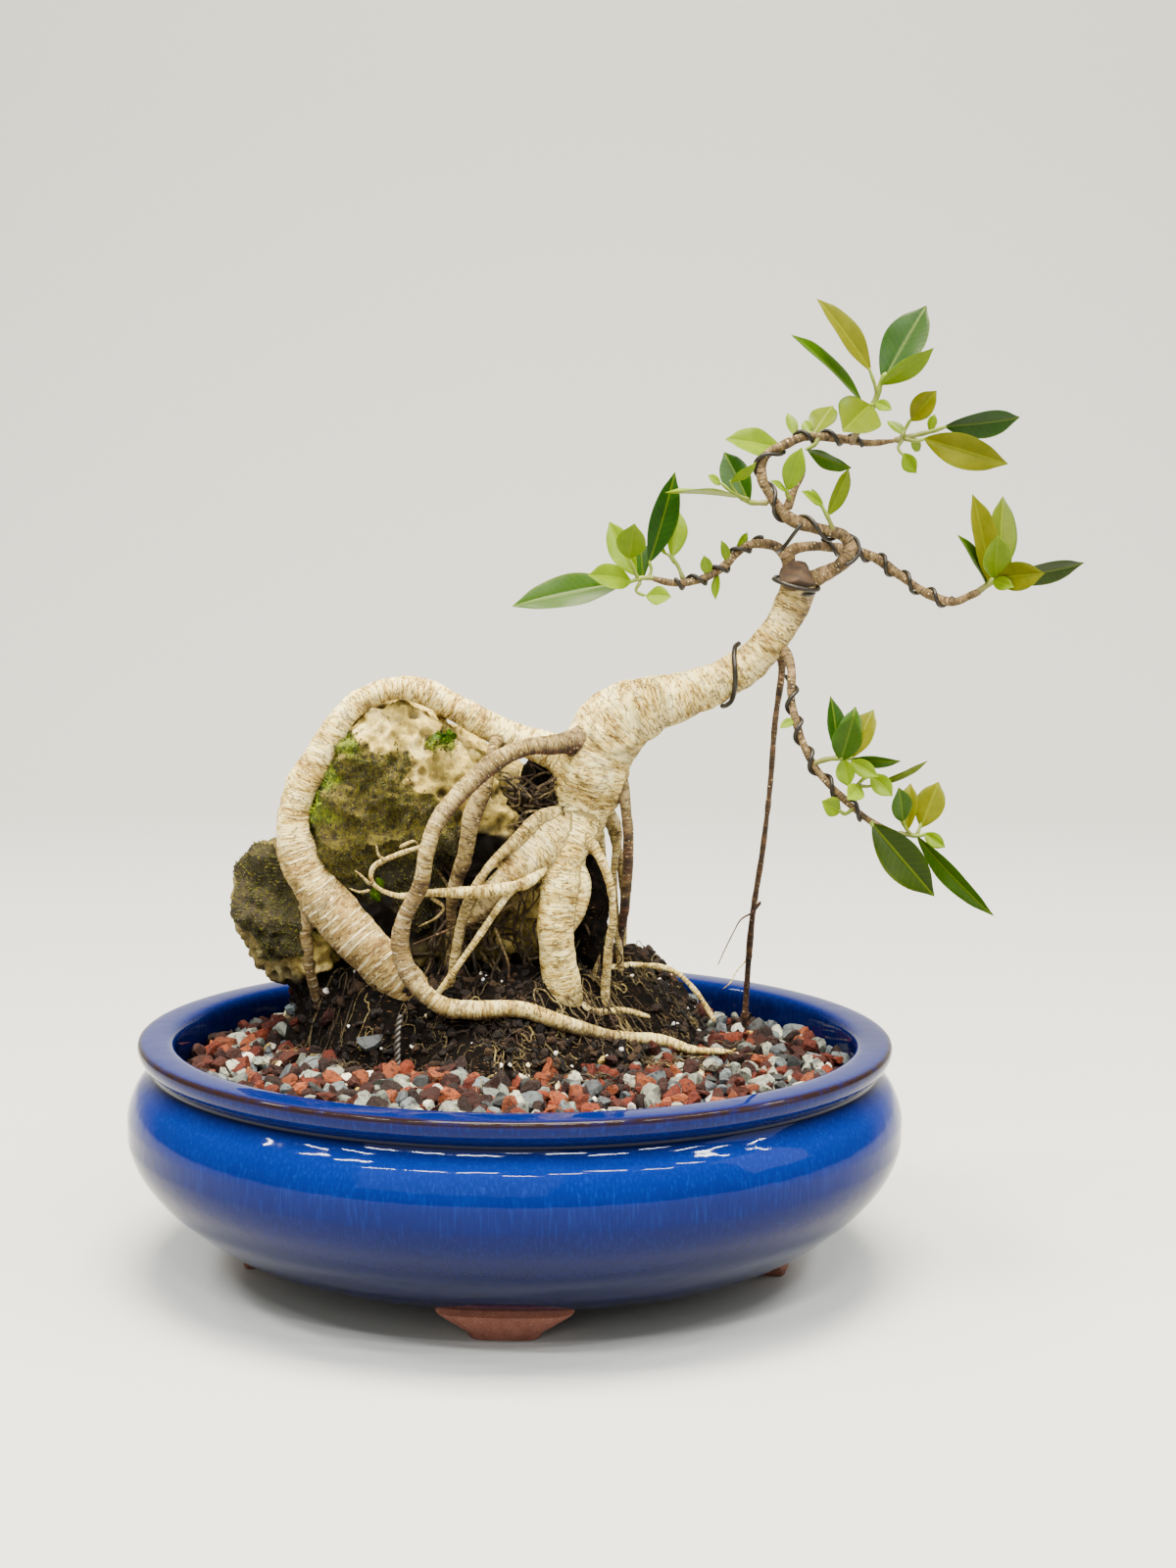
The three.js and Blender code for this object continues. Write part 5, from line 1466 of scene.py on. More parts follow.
@dataclass
class Rock:
    """Limestone that the roots have grown over, with a lobe at its left, moss and small weeds."""

    # Height, left, right, front at the left, front at the right and back of each section
    body_rows: ClassVar[Rows] = (
        (100, -70, 26, 30, 36, 70), (118, -78, 36, 26, 35, 76), (138, -86, 36, 15, 32, 78),
        (155, -88, 18, 9, 27, 78), (169, -87, -8, 5, 14, 76), (180, -85, 7, 3, 1, 72), (192, -83, 8, 2, 2, 68),
        (205, -80, -2, 3, 4, 62), (217, -75, -22, 5, 7, 54), (227, -69, -33, 7, 9, 46),
        (234, -62, -41, 10, 13, 36),
    )
    lobe_rows: ClassVar[Rows] = (
        (118, -104, -80, 14, 16, 44), (126, -112, -76, 8, 8, 50), (138, -120, -74, 5, 4, 54),
        (150, -121, -76, 4, 4, 54), (160.5, -117, -78, 8, 8, 50), (169, -106, -86, 16, 16, 40),
    )
    # Moss patches: middle, radius, whether bright
    patches: ClassVar[Rows] = (
        (-55, 0, 187, 19, 0), (-66, 2, 171, 19, 0), (-48, 4, 172, 18, 0), (-37, 4, 185, 15, 0),
        (-64, 2, 204, 12, 0), (-54, 4, 210, 9, 0), (-79, 9, 206, 9.5, 1), (-83, 11, 192, 10.5, 1),
        (-84, 12, 178, 10, 1), (-72, 8, 219, 7, 1), (-106, 8, 164, 12, 0), (-106, 6, 148, 13, 0),
        (-98, 6, 140, 14, 0), (-96, 10, 158, 12, 0), (30, 40, 138, 14, 0), (28, 42, 122, 10, 0),
        (26, 44, 150, 10, 0), (-40, 16, 152, 12, 0), (-34, 6, 222, 5, 1),
        (-60, 60, 205, 20, 0), (-20, 72, 150, 22, 0), (-75, 66, 160, 24, 0),
    )
    roughness: float = 2.0

    def rings(self, rows: Rows, seed: int) -> Array:
        """Level sections with cut corners, each corner knocked in or out a little by the numbers of a linear
        congruential row.

        Args:
            rows: the sections.
            seed: start of the numbers.

        Returns:
            Rings of ten corners.
        """
        state, rings = seed, []
        for height, left, right, front_left, front_right, back in rows:
            middle, cut, depth = (left + right) / 2, (right - left) * 0.14, (back - front_left) * 0.26
            corners = np.array([
                (left, front_left + depth), (left + cut, front_left),
                (middle, (front_left + front_right) / 2 - 2), (right - cut, front_right),
                (right, front_right + depth), (right, back - depth * 1.2),
                (right - cut * 2, back), (middle, back + 3), (left + cut * 2, back), (left, back - depth * 1.4),
            ])
            knocks = []
            for _ in range(2 * len(corners)):
                state = (state * 1664525 + 1013904223) % 2**32
                knocks.append((state / 2**32 - 0.5) * 2 * self.roughness)
            rise, push = np.array(knocks).reshape(-1, 2).T
            out = unit(corners - np.array([middle, (front_left + back) / 2]))
            rings.append(np.column_stack([corners + out * push[:, None], height + rise]))
        return np.array(rings)

    def lump(self, rows: Rows, seed: int, fine: tuple[int, int]) -> Shape:
        """Fine surface of a lump: its sections are joined by straight lines, eased at their corners, closed
        by rings that shrink, and pushed in and out by ridged noise and by pits.

        Args:
            rows: its level sections.
            seed: as for the rings.
            fine: rows and columns of the surface.

        Returns:
            The lump, with the values pit, moss and bright, and a value for painted shade.
        """
        rings = self.rings(rows, seed)
        shrink = np.linspace(1, 0, 7)[1:-1] ** 0.7
        low = [rings[0].mean(0) + (rings[0] - rings[0].mean(0)) * s - [0, 0, 1] for s in shrink[::-1]]
        high = [rings[-1].mean(0) + (rings[-1] - rings[-1].mean(0)) * s + [0, 0, 2 * (1 - s)] for s in shrink]
        rings = np.concatenate([low, rings, high])
        gaps = np.linalg.norm(np.diff(rings, axis=0), axis=-1).mean(axis=1)
        way = np.concatenate([[0], np.cumsum(gaps)])
        at = np.linspace(0, way[-1], fine[0])
        first = np.clip(np.searchsorted(way, at, "right") - 1, 0, len(way) - 2)
        share = ((at - way[first]) / (way[first + 1] - way[first]))[:, None, None]
        tall = rings[first] * (1 - share) + rings[first + 1] * share
        turn = np.linspace(0, 10, fine[1], endpoint=False)
        corner = np.floor(turn).astype(int)
        part = (turn - corner)[None, :, None]
        grid = tall[:, corner] * (1 - part) + tall[:, (corner + 1) % 10] * part
        for _ in range(5):
            grid = (grid + np.roll(grid, 1, 1) + np.roll(grid, -1, 1)) / 3
            grid[1:-1] = (grid[1:-1] + grid[:-2] + grid[2:]) / 3
        across = np.roll(grid, -1, 1) - np.roll(grid, 1, 1)
        normal = unit(np.cross(across, np.gradient(grid, axis=0)))
        ridged = 1 - np.abs(noise(grid, 17.0, 50, 4))
        hollow = blend_step(0.46, 0.12, pits(grid, 6.5, 61)) * blend_step(-0.35, 0.15, noise(grid, 20.0, 71))
        moss, bright, damp = self.cover(grid)
        left_edge = blend_step(-64, -74, grid[..., 0]) * blend_step(155, 178, grid[..., 2])
        push = (ridged - 0.62) * 8.0 + left_edge * 5.5 + noise(grid, 4.5, 52, 3) * 1.3 + moss * 0.9
        push = push - hollow * 3.4 * (1 - moss * 0.8)
        # The value pit says where painted shade goes into the hollows.
        values = {"pit": hollow * 0.8, "moss": moss, "bright": bright, "damp": damp}
        shape = loft(grid + normal * push[..., None])
        return shape.tagged(**{name: capped_values(value) for name, value in values.items()})

    def cover(self, points: Array) -> tuple[Array, Array, Array]:
        """How mossy and how bright green the rock is at each place, and how much painted shade darkens it.

        Args:
            points: places on the rock.

        Returns:
            Three values from 0 to 1. Moss fades out at each patch's radius, and the painted shade rises near
            the soil, on the lower front and on the left lobe.
        """
        moss, bright = np.zeros(points.shape[:-1]), np.zeros(points.shape[:-1])
        sway = noise(points, 9.0, 81, 3) * 5
        for x, y, z, radius, fresh in self.patches:
            way = np.linalg.norm(points - np.array([x, y, z]), axis=-1) + sway
            here = blend_step(radius + 2.5, radius - 4, way)
            moss, bright = np.maximum(moss, here), np.maximum(bright, here * fresh)
        # Painted shade on the lower front, below a sloping line, then near the soil and on the left lobe.
        line = points[..., 2] - 162 - (points[..., 0] + 75) * 0.36 + sway
        damp = blend_step(5, -6, line) * blend_step(-78, -68, points[..., 0])
        damp = damp * blend_step(30, 20, points[..., 1])
        damp = np.maximum(damp, blend_step(130, 118, points[..., 2] + sway)) * (1 - moss * 0.2)
        damp = np.maximum(damp, blend_step(-84, -96, points[..., 0] + sway) * 0.7)
        return moss, bright, damp

    def tufts(self, shape: Shape) -> Shape:
        """Moss tufts: three-sided spikes that stand on the mossy vertices, leaning at random.

        Args:
            shape: the rock, whose value moss says where they grow.

        Returns:
            The tufts with the value tint, which holds painted shade at their feet and painted light at their
            tips.
        """
        random = np.random.default_rng(91)
        chosen = np.flatnonzero(random.uniform(size=len(shape.vertices)) < shape.values["moss"] * 0.62)
        at, bright = shape.vertices[chosen], shape.values["bright"][chosen]
        centre = np.array([-50.0, 35.0, 165.0])
        out = unit(unit(at - centre) * 0.6 + random.normal(0, 0.45, at.shape) + np.array([0, -0.1, 0.5]))
        side = unit(np.cross(out, random.normal(size=at.shape)))
        other = np.cross(out, side) * 0.87
        wide = random.uniform(0.35, 0.7, (len(at), 1))
        tall = random.uniform(0.7, 1.9, (len(at), 1)) * np.where(bright > 0.5, 1.3, 1)[:, None]
        foot = at - out * 0.3
        points = np.stack([foot + side * wide, foot + (other - side * 0.5) * wide,
                           foot - (other + side * 0.5) * wide, foot + out * tall], axis=1)
        greens = (("#2c2403", "#4c4604", "#3a3d04", "#625a06"), ("#4c5a02", "#667606", "#3a4802", "#82900a"))
        pick = random.integers(0, 4, len(at))
        dark, fresh = (np.array([colour(code) for code in codes])[pick] for codes in greens)
        tint = np.where((bright > random.uniform(0.3, 0.9, len(at)))[:, None], fresh, dark)
        # Painted shade at the foot of each tuft and painted light at its tip.
        shaded_feet_lit_tips = np.array([0.6, 0.6, 0.6, 1.5])[None, :, None]
        tuft = copies(points, np.array([(0, 2, 1), (0, 1, 3), (1, 2, 3), (2, 0, 3)]))
        return tuft.tagged(tint=(tint[:, None] * shaded_feet_lit_tips).reshape(-1, 3))

    def build(self) -> None:
        """Make the stone and its moss."""
        stone = joined([self.lump(self.body_rows, 3, (190, 330)), self.lump(self.lobe_rows, 8, (70, 170))])
        MAKER.piece("rock_stone", stone, Limestone("Weathered limestone"), "rock", "rock", 70.0)
        MAKER.piece("rock_moss", self.tufts(stone), Moss("Cushion moss"), "rock", "rock", None)


@dataclass
class Wood:
    """Trunk, roots and branches. The heavy limbs are grown into one skin, and the rest are fine rods."""

    # Age of each limb's bark, from cream at 0 to brown at 1, at its start and at its end. The hanging root
    # and the root stub are set browner, partly as painted shade of the hollow under the rock.
    ages: ClassVar[dict[str, tuple[float, float]]] = {
        "trunk": (0.06, 0.85), "arching_root": (0.03, 0.28), "running_root": (0.85, 0.12), "leg": (0.05, 0.22),
        "right_front_root": (0.15, 0.45), "right_outer_root": (0.75, 0.9), "root_stub": (0.25, 0.6),
        "strap_root": (0.4, 0.5), "hanging_root": (0.7, 0.6), "left_prop_root": (0.45, 0.6),
        "back_left_root": (0.2, 0.4), "back_middle_root": (0.2, 0.4), "back_right_root": (0.3, 0.5),
        "right_inner_root": (0.5, 0.7), "slim_root": (0.5, 0.7), "level_root": (0.2, 0.45),
        "brace_root": (0.15, 0.25), "aerial_root": (0.95, 1.0), "aerial_hair_one": (1.0, 1.0),
        "dark_cross_root": (0.8, 1.0), "dark_down_root": (0.8, 1.0),
        **{f"level_twig_{number}": (0.5, 0.6) for number in ("one", "two", "three", "four", "five")},
    }
    # Round scars of lost branches: place, radius and how far the lip round them stands out
    scars: ClassVar[Rows] = (
        (82, 1, 249, 1.7, 0.6), (40, -3, 227, 7.5, 1.0), (60, 1, 240, 2.2, 0.5), (31, -3, 209, 4.0, 0.5),
        (101, 2, 262, 1.5, 0.5), (-79, -6, 156, 2.0, 0.4),
    )
    # The domed stub above the last branches, before its sloping saw cut
    sawn: ClassVar[Rows] = (
        (111.5, 7.6, 283, 7.4), (112.4, 6.8, 286.5, 8.7), (113.4, 6.4, 290, 8.2), (115, 6, 293, 5.8),
        (116.5, 5.8, 295, 2.6),
    )
    # Thin roots: how many, the box where they start, the box where they end, and how far they stray
    spans: ClassVar[tuple[Any, ...]] = (
        (46, (-10, 6, 180), (4, 16, 208), (14, 4, 170), (22, 12, 208), 3.0),
        (34, (-44, 8, 150), (14, 26, 172), (-46, 4, 106), (20, 20, 118), 4.0),
        (10, (24, 18, 150), (34, 30, 180), (22, 16, 108), (44, 34, 116), 3.0),
    )
    voxel: float = 1.15
    branch_age: float = 0.9

    def age_of(self, name: str, share: Array) -> Array:
        """Age along a limb, going evenly from its first value to its last, and on the trunk late."""
        first, last = self.ages.get(name, (0.05, 0.2))
        return first + (last - first) * share ** (5 if name == "trunk" else 1)

    def grown(self) -> Shape:
        """Heavy limbs swept as rods, filled with small cubes of one size and smoothed, so that they flow into
        each other, then given bark values from the nearest limb and pushed into rings and lumps.

        Returns:
            The skin with the values grain, age, ring and soil.
        """
        lines = {name: route(rows, 1.5) for name, rows in HEAVY_LIMBS.items()}
        rods = joined([tube(line, 24) for line in lines.values()])
        rods.values.clear()
        rough = MAKER.placed("limbs", MAKER.mesh("limbs", rods))
        grow = rough.modifiers.new("grow", "REMESH")
        grow.mode, grow.voxel_size = "VOXEL", self.voxel / 1000
        ease = rough.modifiers.new("ease", "SMOOTH")
        ease.factor, ease.iterations = 0.6, 7
        skin = MAKER.baked(rough)
        bpy.data.objects.remove(rough)
        at, out = np.empty((2, len(skin.vertices), 3))
        quads = np.empty((len(skin.polygons), 4), dtype=np.int64)
        skin.vertices.foreach_get("co", at.reshape(-1))
        skin.vertices.foreach_get("normal", out.reshape(-1))
        skin.loops.foreach_get("vertex_index", quads.reshape(-1))
        bpy.data.meshes.remove(skin)
        return self.barked(lines, at * 1000 - CENTRE, out, quads)

    def barked(self, lines: dict[str, Route], at: Array, out: Array, quads: Faces) -> Shape:
        """Give a skin its bark: for each vertex the nearest place on a limb, measured from the limb's own
        surface, says how far along and how far round it is.

        Args:
            lines: the limbs' lines.
            at: the skin's vertices.
            out: their directions outwards.
            quads: its faces.

        Returns:
            The finished skin.
        """
        centres, along, side, up = (
            np.vstack([getattr(line, part) for line in lines.values()])
            for part in ("points", "along", "side", "up")
        )
        radii = np.concatenate([line.radius for line in lines.values()])
        nearest = np.concatenate([
            np.argmin(np.linalg.norm(part[:, None] - centres[None], axis=-1) - radii[None], axis=1)
            for part in np.array_split(at, max(1, len(at) // 4000))
        ])
        run = np.concatenate([line.run + 300.0 * k for k, line in enumerate(lines.values())])[nearest]
        ages = [self.age_of(name, line.run / line.run[-1]) for name, line in lines.items()]
        away = at - centres[nearest]
        grain = np.stack([(away * way[nearest]).sum(-1) for way in (along, side, up)], axis=-1)
        grain[:, 0] += run
        thick = radii[nearest]
        ring = noise(grain * np.array([1.0, 0.16, 0.16]), 3.0, 101, 2)
        lump, knuckle = noise(at, 13.0, 102, 2), noise(at, 5.0, 103, 2)
        burly = blend_step(9.0, 12.5, thick)
        push = ring * np.clip(thick * 0.022, 0.05, 0.2)
        push += lump * (np.clip(thick * 0.085, 0.15, 0.8) + burly * 1.1)
        push += knuckle * (np.clip(thick * 0.05, 0.06, 0.4) + burly * 0.5)
        # The lower left of the arching root, where the bark shows its dashes and gets painted shade.
        strong = blend_step(205, 150, at[:, 2]) * blend_step(-25, -45, at[:, 0])
        soil = blend_step(112, 99, at[:, 2] + lump * 4) * blend_step(70, 20, at[:, 0])
        for x, y, z, reach, rise in self.scars:
            far = np.linalg.norm(at - np.array([x, y, z]), axis=1)
            lip = np.exp(-(((far - reach) / (0.2 * reach + 0.2)) ** 2))
            push += rise * (lip + 0.4 * blend_step(reach, 0, far))
            # A dark ring just outside each scar's lip, laid through the value soil.
            soil += 0.8 * np.exp(-(((far - reach * 1.35) / (0.12 * reach + 0.3)) ** 2))
        # Painted shade: the undersides of the grown limbs are made browner through the value age, on top of
        # their bark's age.
        age_and_underside_shade = np.concatenate(ages)[nearest] + lump * 0.08 + 0.3 * blend_step(0.25, -0.75, out[:, 2])
        return Shape(at + out * push[:, None], quads).tagged(
            grain=grain, age=np.clip(age_and_underside_shade, 0, 1), ring=0.3 + 0.7 * strong, soil=np.clip(soil * 0.6, 0, 1)
        )

    def rods(self, limbs: dict[str, Rows], age: float | None = None) -> Shape:
        """Rods for thin limbs, with low knots every 6 mm or so.

        Args:
            limbs: rows of each.
            age: age of their bark, or None to take it from the table.

        Returns:
            All of them in one shape.
        """
        made = []
        for number, (name, rows) in enumerate(limbs.items()):
            line = route(rows, 1.1)
            grain = grain_of(line, 12, line.radius[:, None]) + np.array([900.0 + 300 * number, 0, 0])
            knots = 1 + 0.13 * noise(grain * np.array([1, 0.5, 0.5]), 5.0, 111, 2)
            share = np.concatenate([np.repeat(line.run / line.run[-1], 12), [0, 1]])
            ages = self.age_of(name, share) if age is None else age
            made.append(tube(line, 12, knots).tagged(age=ages, ring=0.25, soil=0.0))
        return joined(made)

    def tangle(self) -> Shape:
        """Thin brown roots between the rock and the trunk, and down the hollow under the rock: each goes
        from a place in one box to a place in another, and wanders off the straight by a few millimetres.

        Returns:
            The thin roots.
        """
        random = np.random.default_rng(57)
        share = np.linspace(0, 1, 7)[:, None]
        roots = []
        for count, low, high, end_low, end_high, stray in self.spans:
            starts, ends = random.uniform(low, high, (count, 3)), random.uniform(end_low, end_high, (count, 3))
            for start, end in zip(starts, ends):
                sway = random.normal(0, stray, (7, 3)) * np.sin(np.pi * share) ** 0.6
                thick, age, soil = (random.uniform(*span) for span in ((0.25, 0.75), (0.7, 1.0), (0.4, 0.92)))
                roots.append(thin_root(start * (1 - share) + end * share + sway, thick, 1.5, 6, age, soil))
        return joined(roots)

    def pocket(self) -> Shape:
        """Peat held between the rock and the trunk and behind the leg: stretched balls with crumbs."""
        rise = np.linspace(-1.5, 1.5, 60)[:, None]
        x, y = np.cos(rise) * np.cos(round_turn(90)), np.cos(rise) * np.sin(round_turn(90))
        globe = np.stack(np.broadcast_arrays(x, y, np.sin(rise)), axis=-1)
        peat = []
        for place, size in (((11, 26, 192), (12, 9, 24)), ((30, 24, 148), (8, 6, 26))):
            grid = globe * np.array(size) + np.array(place)
            peat.append(loft(grid + globe * noise(grid, 9.0, 58, 4)[..., None] * 2.6))
        return joined(peat)

    def cut(self) -> Shape:
        """Short brown stub where the trunk was cut above its last branches: a dome that a sloping saw cut
        has flattened towards the front and the left."""
        angle = round_turn(72)
        wobble = 1 + 0.07 * np.sin(angle * 2 + 1) + 0.05 * np.sin(angle * 3) + 0.02 * np.sin(angle * 9)
        stub = tube(route(self.sawn, 0.5), 72, wobble)
        facing = unit(np.array([-0.5, -0.5, 0.72]))
        past = (stub.vertices - np.array([111.5, 1.5, 290.5])) @ facing
        stub.vertices = stub.vertices - facing * np.maximum(0, past * 0.94)[:, None]
        return stub

    def build(self) -> None:
        """Make the skin, the thin roots, the branches and the twigs' own small leaves."""
        bark = FigBark("Ringed fig bark")
        MAKER.piece("trunk_and_roots", self.grown(), bark, "ficus_wood", "bark", 80.0)
        MAKER.piece("slender_roots", self.rods(SLENDER_ROOTS), bark, "ficus_wood", "bark")
        MAKER.piece("branches", self.rods(BRANCHES, self.branch_age), bark, "ficus_wood", "bark")
        MAKER.piece("root_tangle", self.tangle(), bark, "", "bark")
        MAKER.piece("peat_pocket", self.pocket(), PeatSoil("Peat between the roots"), "", "soil", None)
        MAKER.piece("trunk_cut", self.cut(), CutWood("Old saw cut"), "", "bark", 50.0)
        Foliage().shoot("twig_leaves", [], TWIG_LEAVES, "YYYYY", "ficus_wood")


@dataclass
class Foliage:
    """Leaves with their stems, one piece for each shoot."""

    # Places of weeds on the rock and how far their leaves spread
    weed_places: ClassVar[Rows] = (
        (-29, 3, 223, 1.8), (-74, 9, 216, 1.6), (-79, 9, 208, 1.4), (-83, 9, 184, 2.0), (-57, 4, 157, 2.2),
        (-80, 8, 196, 1.8), (-84, 10, 176, 1.6),
    )
    thickness: float = 0.55
    fold: float = 0.3
    rows: int = 26
    columns: int = 13

    def blade(self, leaf: Leaf, tone: Tone, seed: int) -> Shape:
        """A leaf: its half width follows the sine of the way to the power 0.78, narrowed to a point at the
        tip. It is folded along its rib, arched by a twentieth of its length, and waved at its edge.

        Args:
            leaf: base, tip, width and turn about the rib.
            tone: its colours.
            seed: for its waves.

        Returns:
            The closed blade with the values blade and tint.
        """
        base, tip, width, turn = leaf
        random = np.random.default_rng(seed)
        foot = np.array(base, float)
        along = np.array(tip, float) - foot
        length = float(np.linalg.norm(along))
        along = along / length
        front = np.array([0, -1, 0.25])
        facing = unit(front - along * (along @ front))
        spin = math.radians(turn)
        facing = facing * math.cos(spin) + np.cross(along, facing) * math.sin(spin)
        across = np.cross(along, facing)
        t = (1 - np.cos(np.linspace(0.0, np.pi, self.rows))) / 2
        belly = np.sin(np.pi * t)
        outline = np.maximum(belly, 0) ** 0.78 * (1 - 0.35 * blend_step(0.78, 1.0, t))
        neck = 1.1 / width * (1 - 0.4 * t)
        half = np.maximum(outline, neck * (t < 0.1)) * width / 2
        t, belly = t[:, None], belly[:, None]
        s = np.linspace(-1, 1, self.columns)
        sideways = half[:, None] * s
        fold = (np.abs(sideways) - width * 0.25 * belly) * self.fold
        phase, speed = random.uniform(0, 6), random.uniform(7, 11)
        wave = np.abs(s) ** 3 * np.sin(t * speed + phase + 1.5 * np.sign(s)) * width * 0.035
        rib = -0.22 * np.exp(-((sideways / 0.5) ** 2)) * (t < 0.97)
        middle = foot + along * (t * length)[..., None] + across * sideways[..., None]
        lift = belly * 0.05 * length + fold + wave * belly
        thick = self.thickness / 2 * (1 - np.abs(s) ** 4)[None] * np.minimum(1, belly * 3) + 0.04
        above = middle + facing * (lift + thick + rib * 0.6)[..., None]
        below = middle + facing * (lift - thick + rib)[..., None]
        ring = np.concatenate([above[:, :-1], below[:, :0:-1]], axis=1)
        spread = np.concatenate([sideways[:, :-1], sideways[:, :0:-1]], axis=1)
        blade = np.stack(np.broadcast_arrays(t * length, spread, width / 2), axis=-1)
        lit = 0.43 + random.uniform(-0.05, 0.05)
        tint = np.stack([colour(code) for code in tone.value]) ** 1.25 * lit
        tint = np.repeat(np.repeat(tint, self.columns - 1, axis=0)[None], self.rows, axis=0)
        return loft(ring).tagged(blade=capped_values(blade), tint=capped_values(tint))

    def stalk(self, rows: Rows) -> Shape:
        """A young stem, thicker by a tenth at its joints, turning brown towards its start."""
        line = route(rows, 0.9)
        share = np.concatenate([np.repeat(1 - line.run / line.run[-1], 9), [1, 0]])
        stalk = tube(line, 9, 1 + 0.1 * np.sin(line.run[:, None] * 1.1))
        return stalk.tagged(age=np.clip(share * float(rows[0][3]) * 0.75 - 0.15, 0, 1))

    def shoot(self, name: str, stems: list[Rows], leaves: list[Leaf], tones: str, node: str) -> None:
        """Make the stems and the leaves of one shoot.

        Args:
            name: name of the pieces.
            stems: rows of each stem.
            leaves: the leaves.
            tones: a letter for each leaf's colours.
            node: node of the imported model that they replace.
        """
        blades = [self.blade(leaf, TONE_LETTERS[tones[k]], 7 * k + len(name)) for k, leaf in enumerate(leaves)]
        MAKER.piece(f"{name}_blades", joined(blades), LeafSkin("Waxy leaf"), node, "leaf", 60.0)
        if stems:
            stalks = joined([self.stalk(rows) for rows in stems])
            MAKER.piece(f"{name}_stems", stalks, GreenStem("Young green stem"), node, "leaf")

    def weeds(self) -> None:
        """Small weeds on the rock: tufts of six to nine round leaves, 3 to 6 mm long, that fan out upwards."""
        random = np.random.default_rng(66)
        coarse = Foliage(rows=10, columns=7)
        blades = []
        for x, y, z, spread in self.weed_places:
            for _ in range(int(random.integers(6, 10))):
                way = unit(random.normal(size=3) * np.array([1, 0.5, 0.8]) + np.array([0, -0.5, 0.5]))
                foot = np.array([x, y, z]) + random.normal(0, spread, 3) * np.array([1, 0.3, 1])
                tip = foot + way * random.uniform(3.0, 6.0)
                width, turn = random.uniform(2.4, 3.8), random.uniform(-40, 40)
                tone = Tone.DARK if random.uniform() < 0.6 else Tone.FRESH
                blades.append(coarse.blade((tuple(foot), tuple(tip), width, turn), tone, len(blades)))
        MAKER.piece("rock_weeds", joined(blades), LeafSkin("Waxy leaf"), "", "leaf", 60.0)

    def build(self) -> None:
        """Make every shoot."""
        for name, (stems, leaves) in SHOOTS.items():
            self.shoot(name, stems, leaves, TONES[name], f"leaves_{name}")
        self.weeds()


@dataclass
class Wires:
    """Training wires wound on the trunk and the branches, and the strand that anchors the roots."""

    # Limb, stretch of it from 0 to 1, turns (negative winds the other way), starting angle, radius
    windings: ClassVar[tuple[tuple[str, float, float, float, float, float], ...]] = (
        ("trunk", 0.6, 0.735, -0.6, 283, 1.05), ("left", 0.3, 0.88, 4, 245, 0.85),
        ("crown", 0.14, 0.66, 3.4, 195, 0.85), ("right", 0.22, 0.84, 5, 90, 0.85),
        ("hanging", 0.12, 0.82, 5, 278, 0.85),
    )
    bridge: ClassVar[Rows] = (
        (114, -2, 311, 0.85), (111, -2, 307, 0.85), (107, 3, 301, 0.85), (105, 9, 299, 0.85),
    )
    anchor: ClassVar[Rows] = (
        (-47, -21, 70, 1.5), (-47, -22, 92, 1.5), (-47, -21, 104, 1.5), (-46, -19, 112, 1.5),
    )

    def through(self, places: Array, radius: float, step: float, sides: int) -> Shape:
        """A wire of one radius through some places."""
        return tube(route([(*place, radius) for place in places.tolist()], step), sides)

    def wound(self, limb: Rows, start: float, end: float, turns: float, angle: float, thick: float) -> Shape:
        """A wire round a limb: a helix about the limb's line, at the limb's radius and a little more than
        the wire's.

        Args:
            limb: rows of the limb.
            start: share of the limb where the wire begins.
            end: share where it ends.
            turns: how often it goes round.
            angle: where it begins, in degrees.
            thick: the wire's radius.

        Returns:
            The wire.
        """
        line = route(limb, 3.0)
        count = round(abs(turns) * 24)
        done = np.arange(count + 1) / count
        at = (start + (end - start) * done) * (len(line.run) - 1)
        first = np.minimum(np.floor(at).astype(int), len(line.run) - 2)
        share = (at - first)[:, None]
        centre, side, up = (part[first] * (1 - share) + part[first + 1] * share
                            for part in (line.points, line.side, line.up))
        reach = line.radius[first][:, None] * 1.03 + thick * 0.9
        turn = (math.radians(angle) + 2 * np.pi * turns * done)[:, None]
        return self.through(centre + (side * np.cos(turn) + up * np.sin(turn)) * reach, thick, 1.0, 10)

    def build(self) -> None:
        """Make each wire, and the anchor as two strands twisted together."""
        coat = CoatedWire("Brown anodised aluminium")
        limbs = {"trunk": HEAVY_LIMBS["trunk"], **BRANCHES}
        for name, *winding in self.windings:
            wire = self.wound(limbs[name], *winding)
            MAKER.piece(f"winding_{name}", wire, coat, f"wire_{name}", "training_wire")
        ends = [self.wound(Wood.sawn, 0.14, 0.34, 1.3, 200, 0.9),
                self.wound(BRANCHES["crown"], 0.7, 0.9, 2.6, 60, 0.85), tube(route(self.bridge, 0.8), 10)]
        MAKER.piece("collar_and_bridge_wire", joined(ends), coat, "", "training_wire")
        line = route(self.anchor, 0.8)
        strands = []
        for phase in (0.0, np.pi):
            turn = (line.run * 1.3 + phase)[:, None]
            out = np.cos(turn) * line.side + np.sin(turn) * line.up
            strands.append(self.through(line.points + out * 0.72, 0.75, 0.8, 8))
        dull = CoatedWire("Dull twisted wire", "#4a4540")
        MAKER.piece("anchor_strand", joined(strands), dull, "anchor_wire", "anchor_wire")


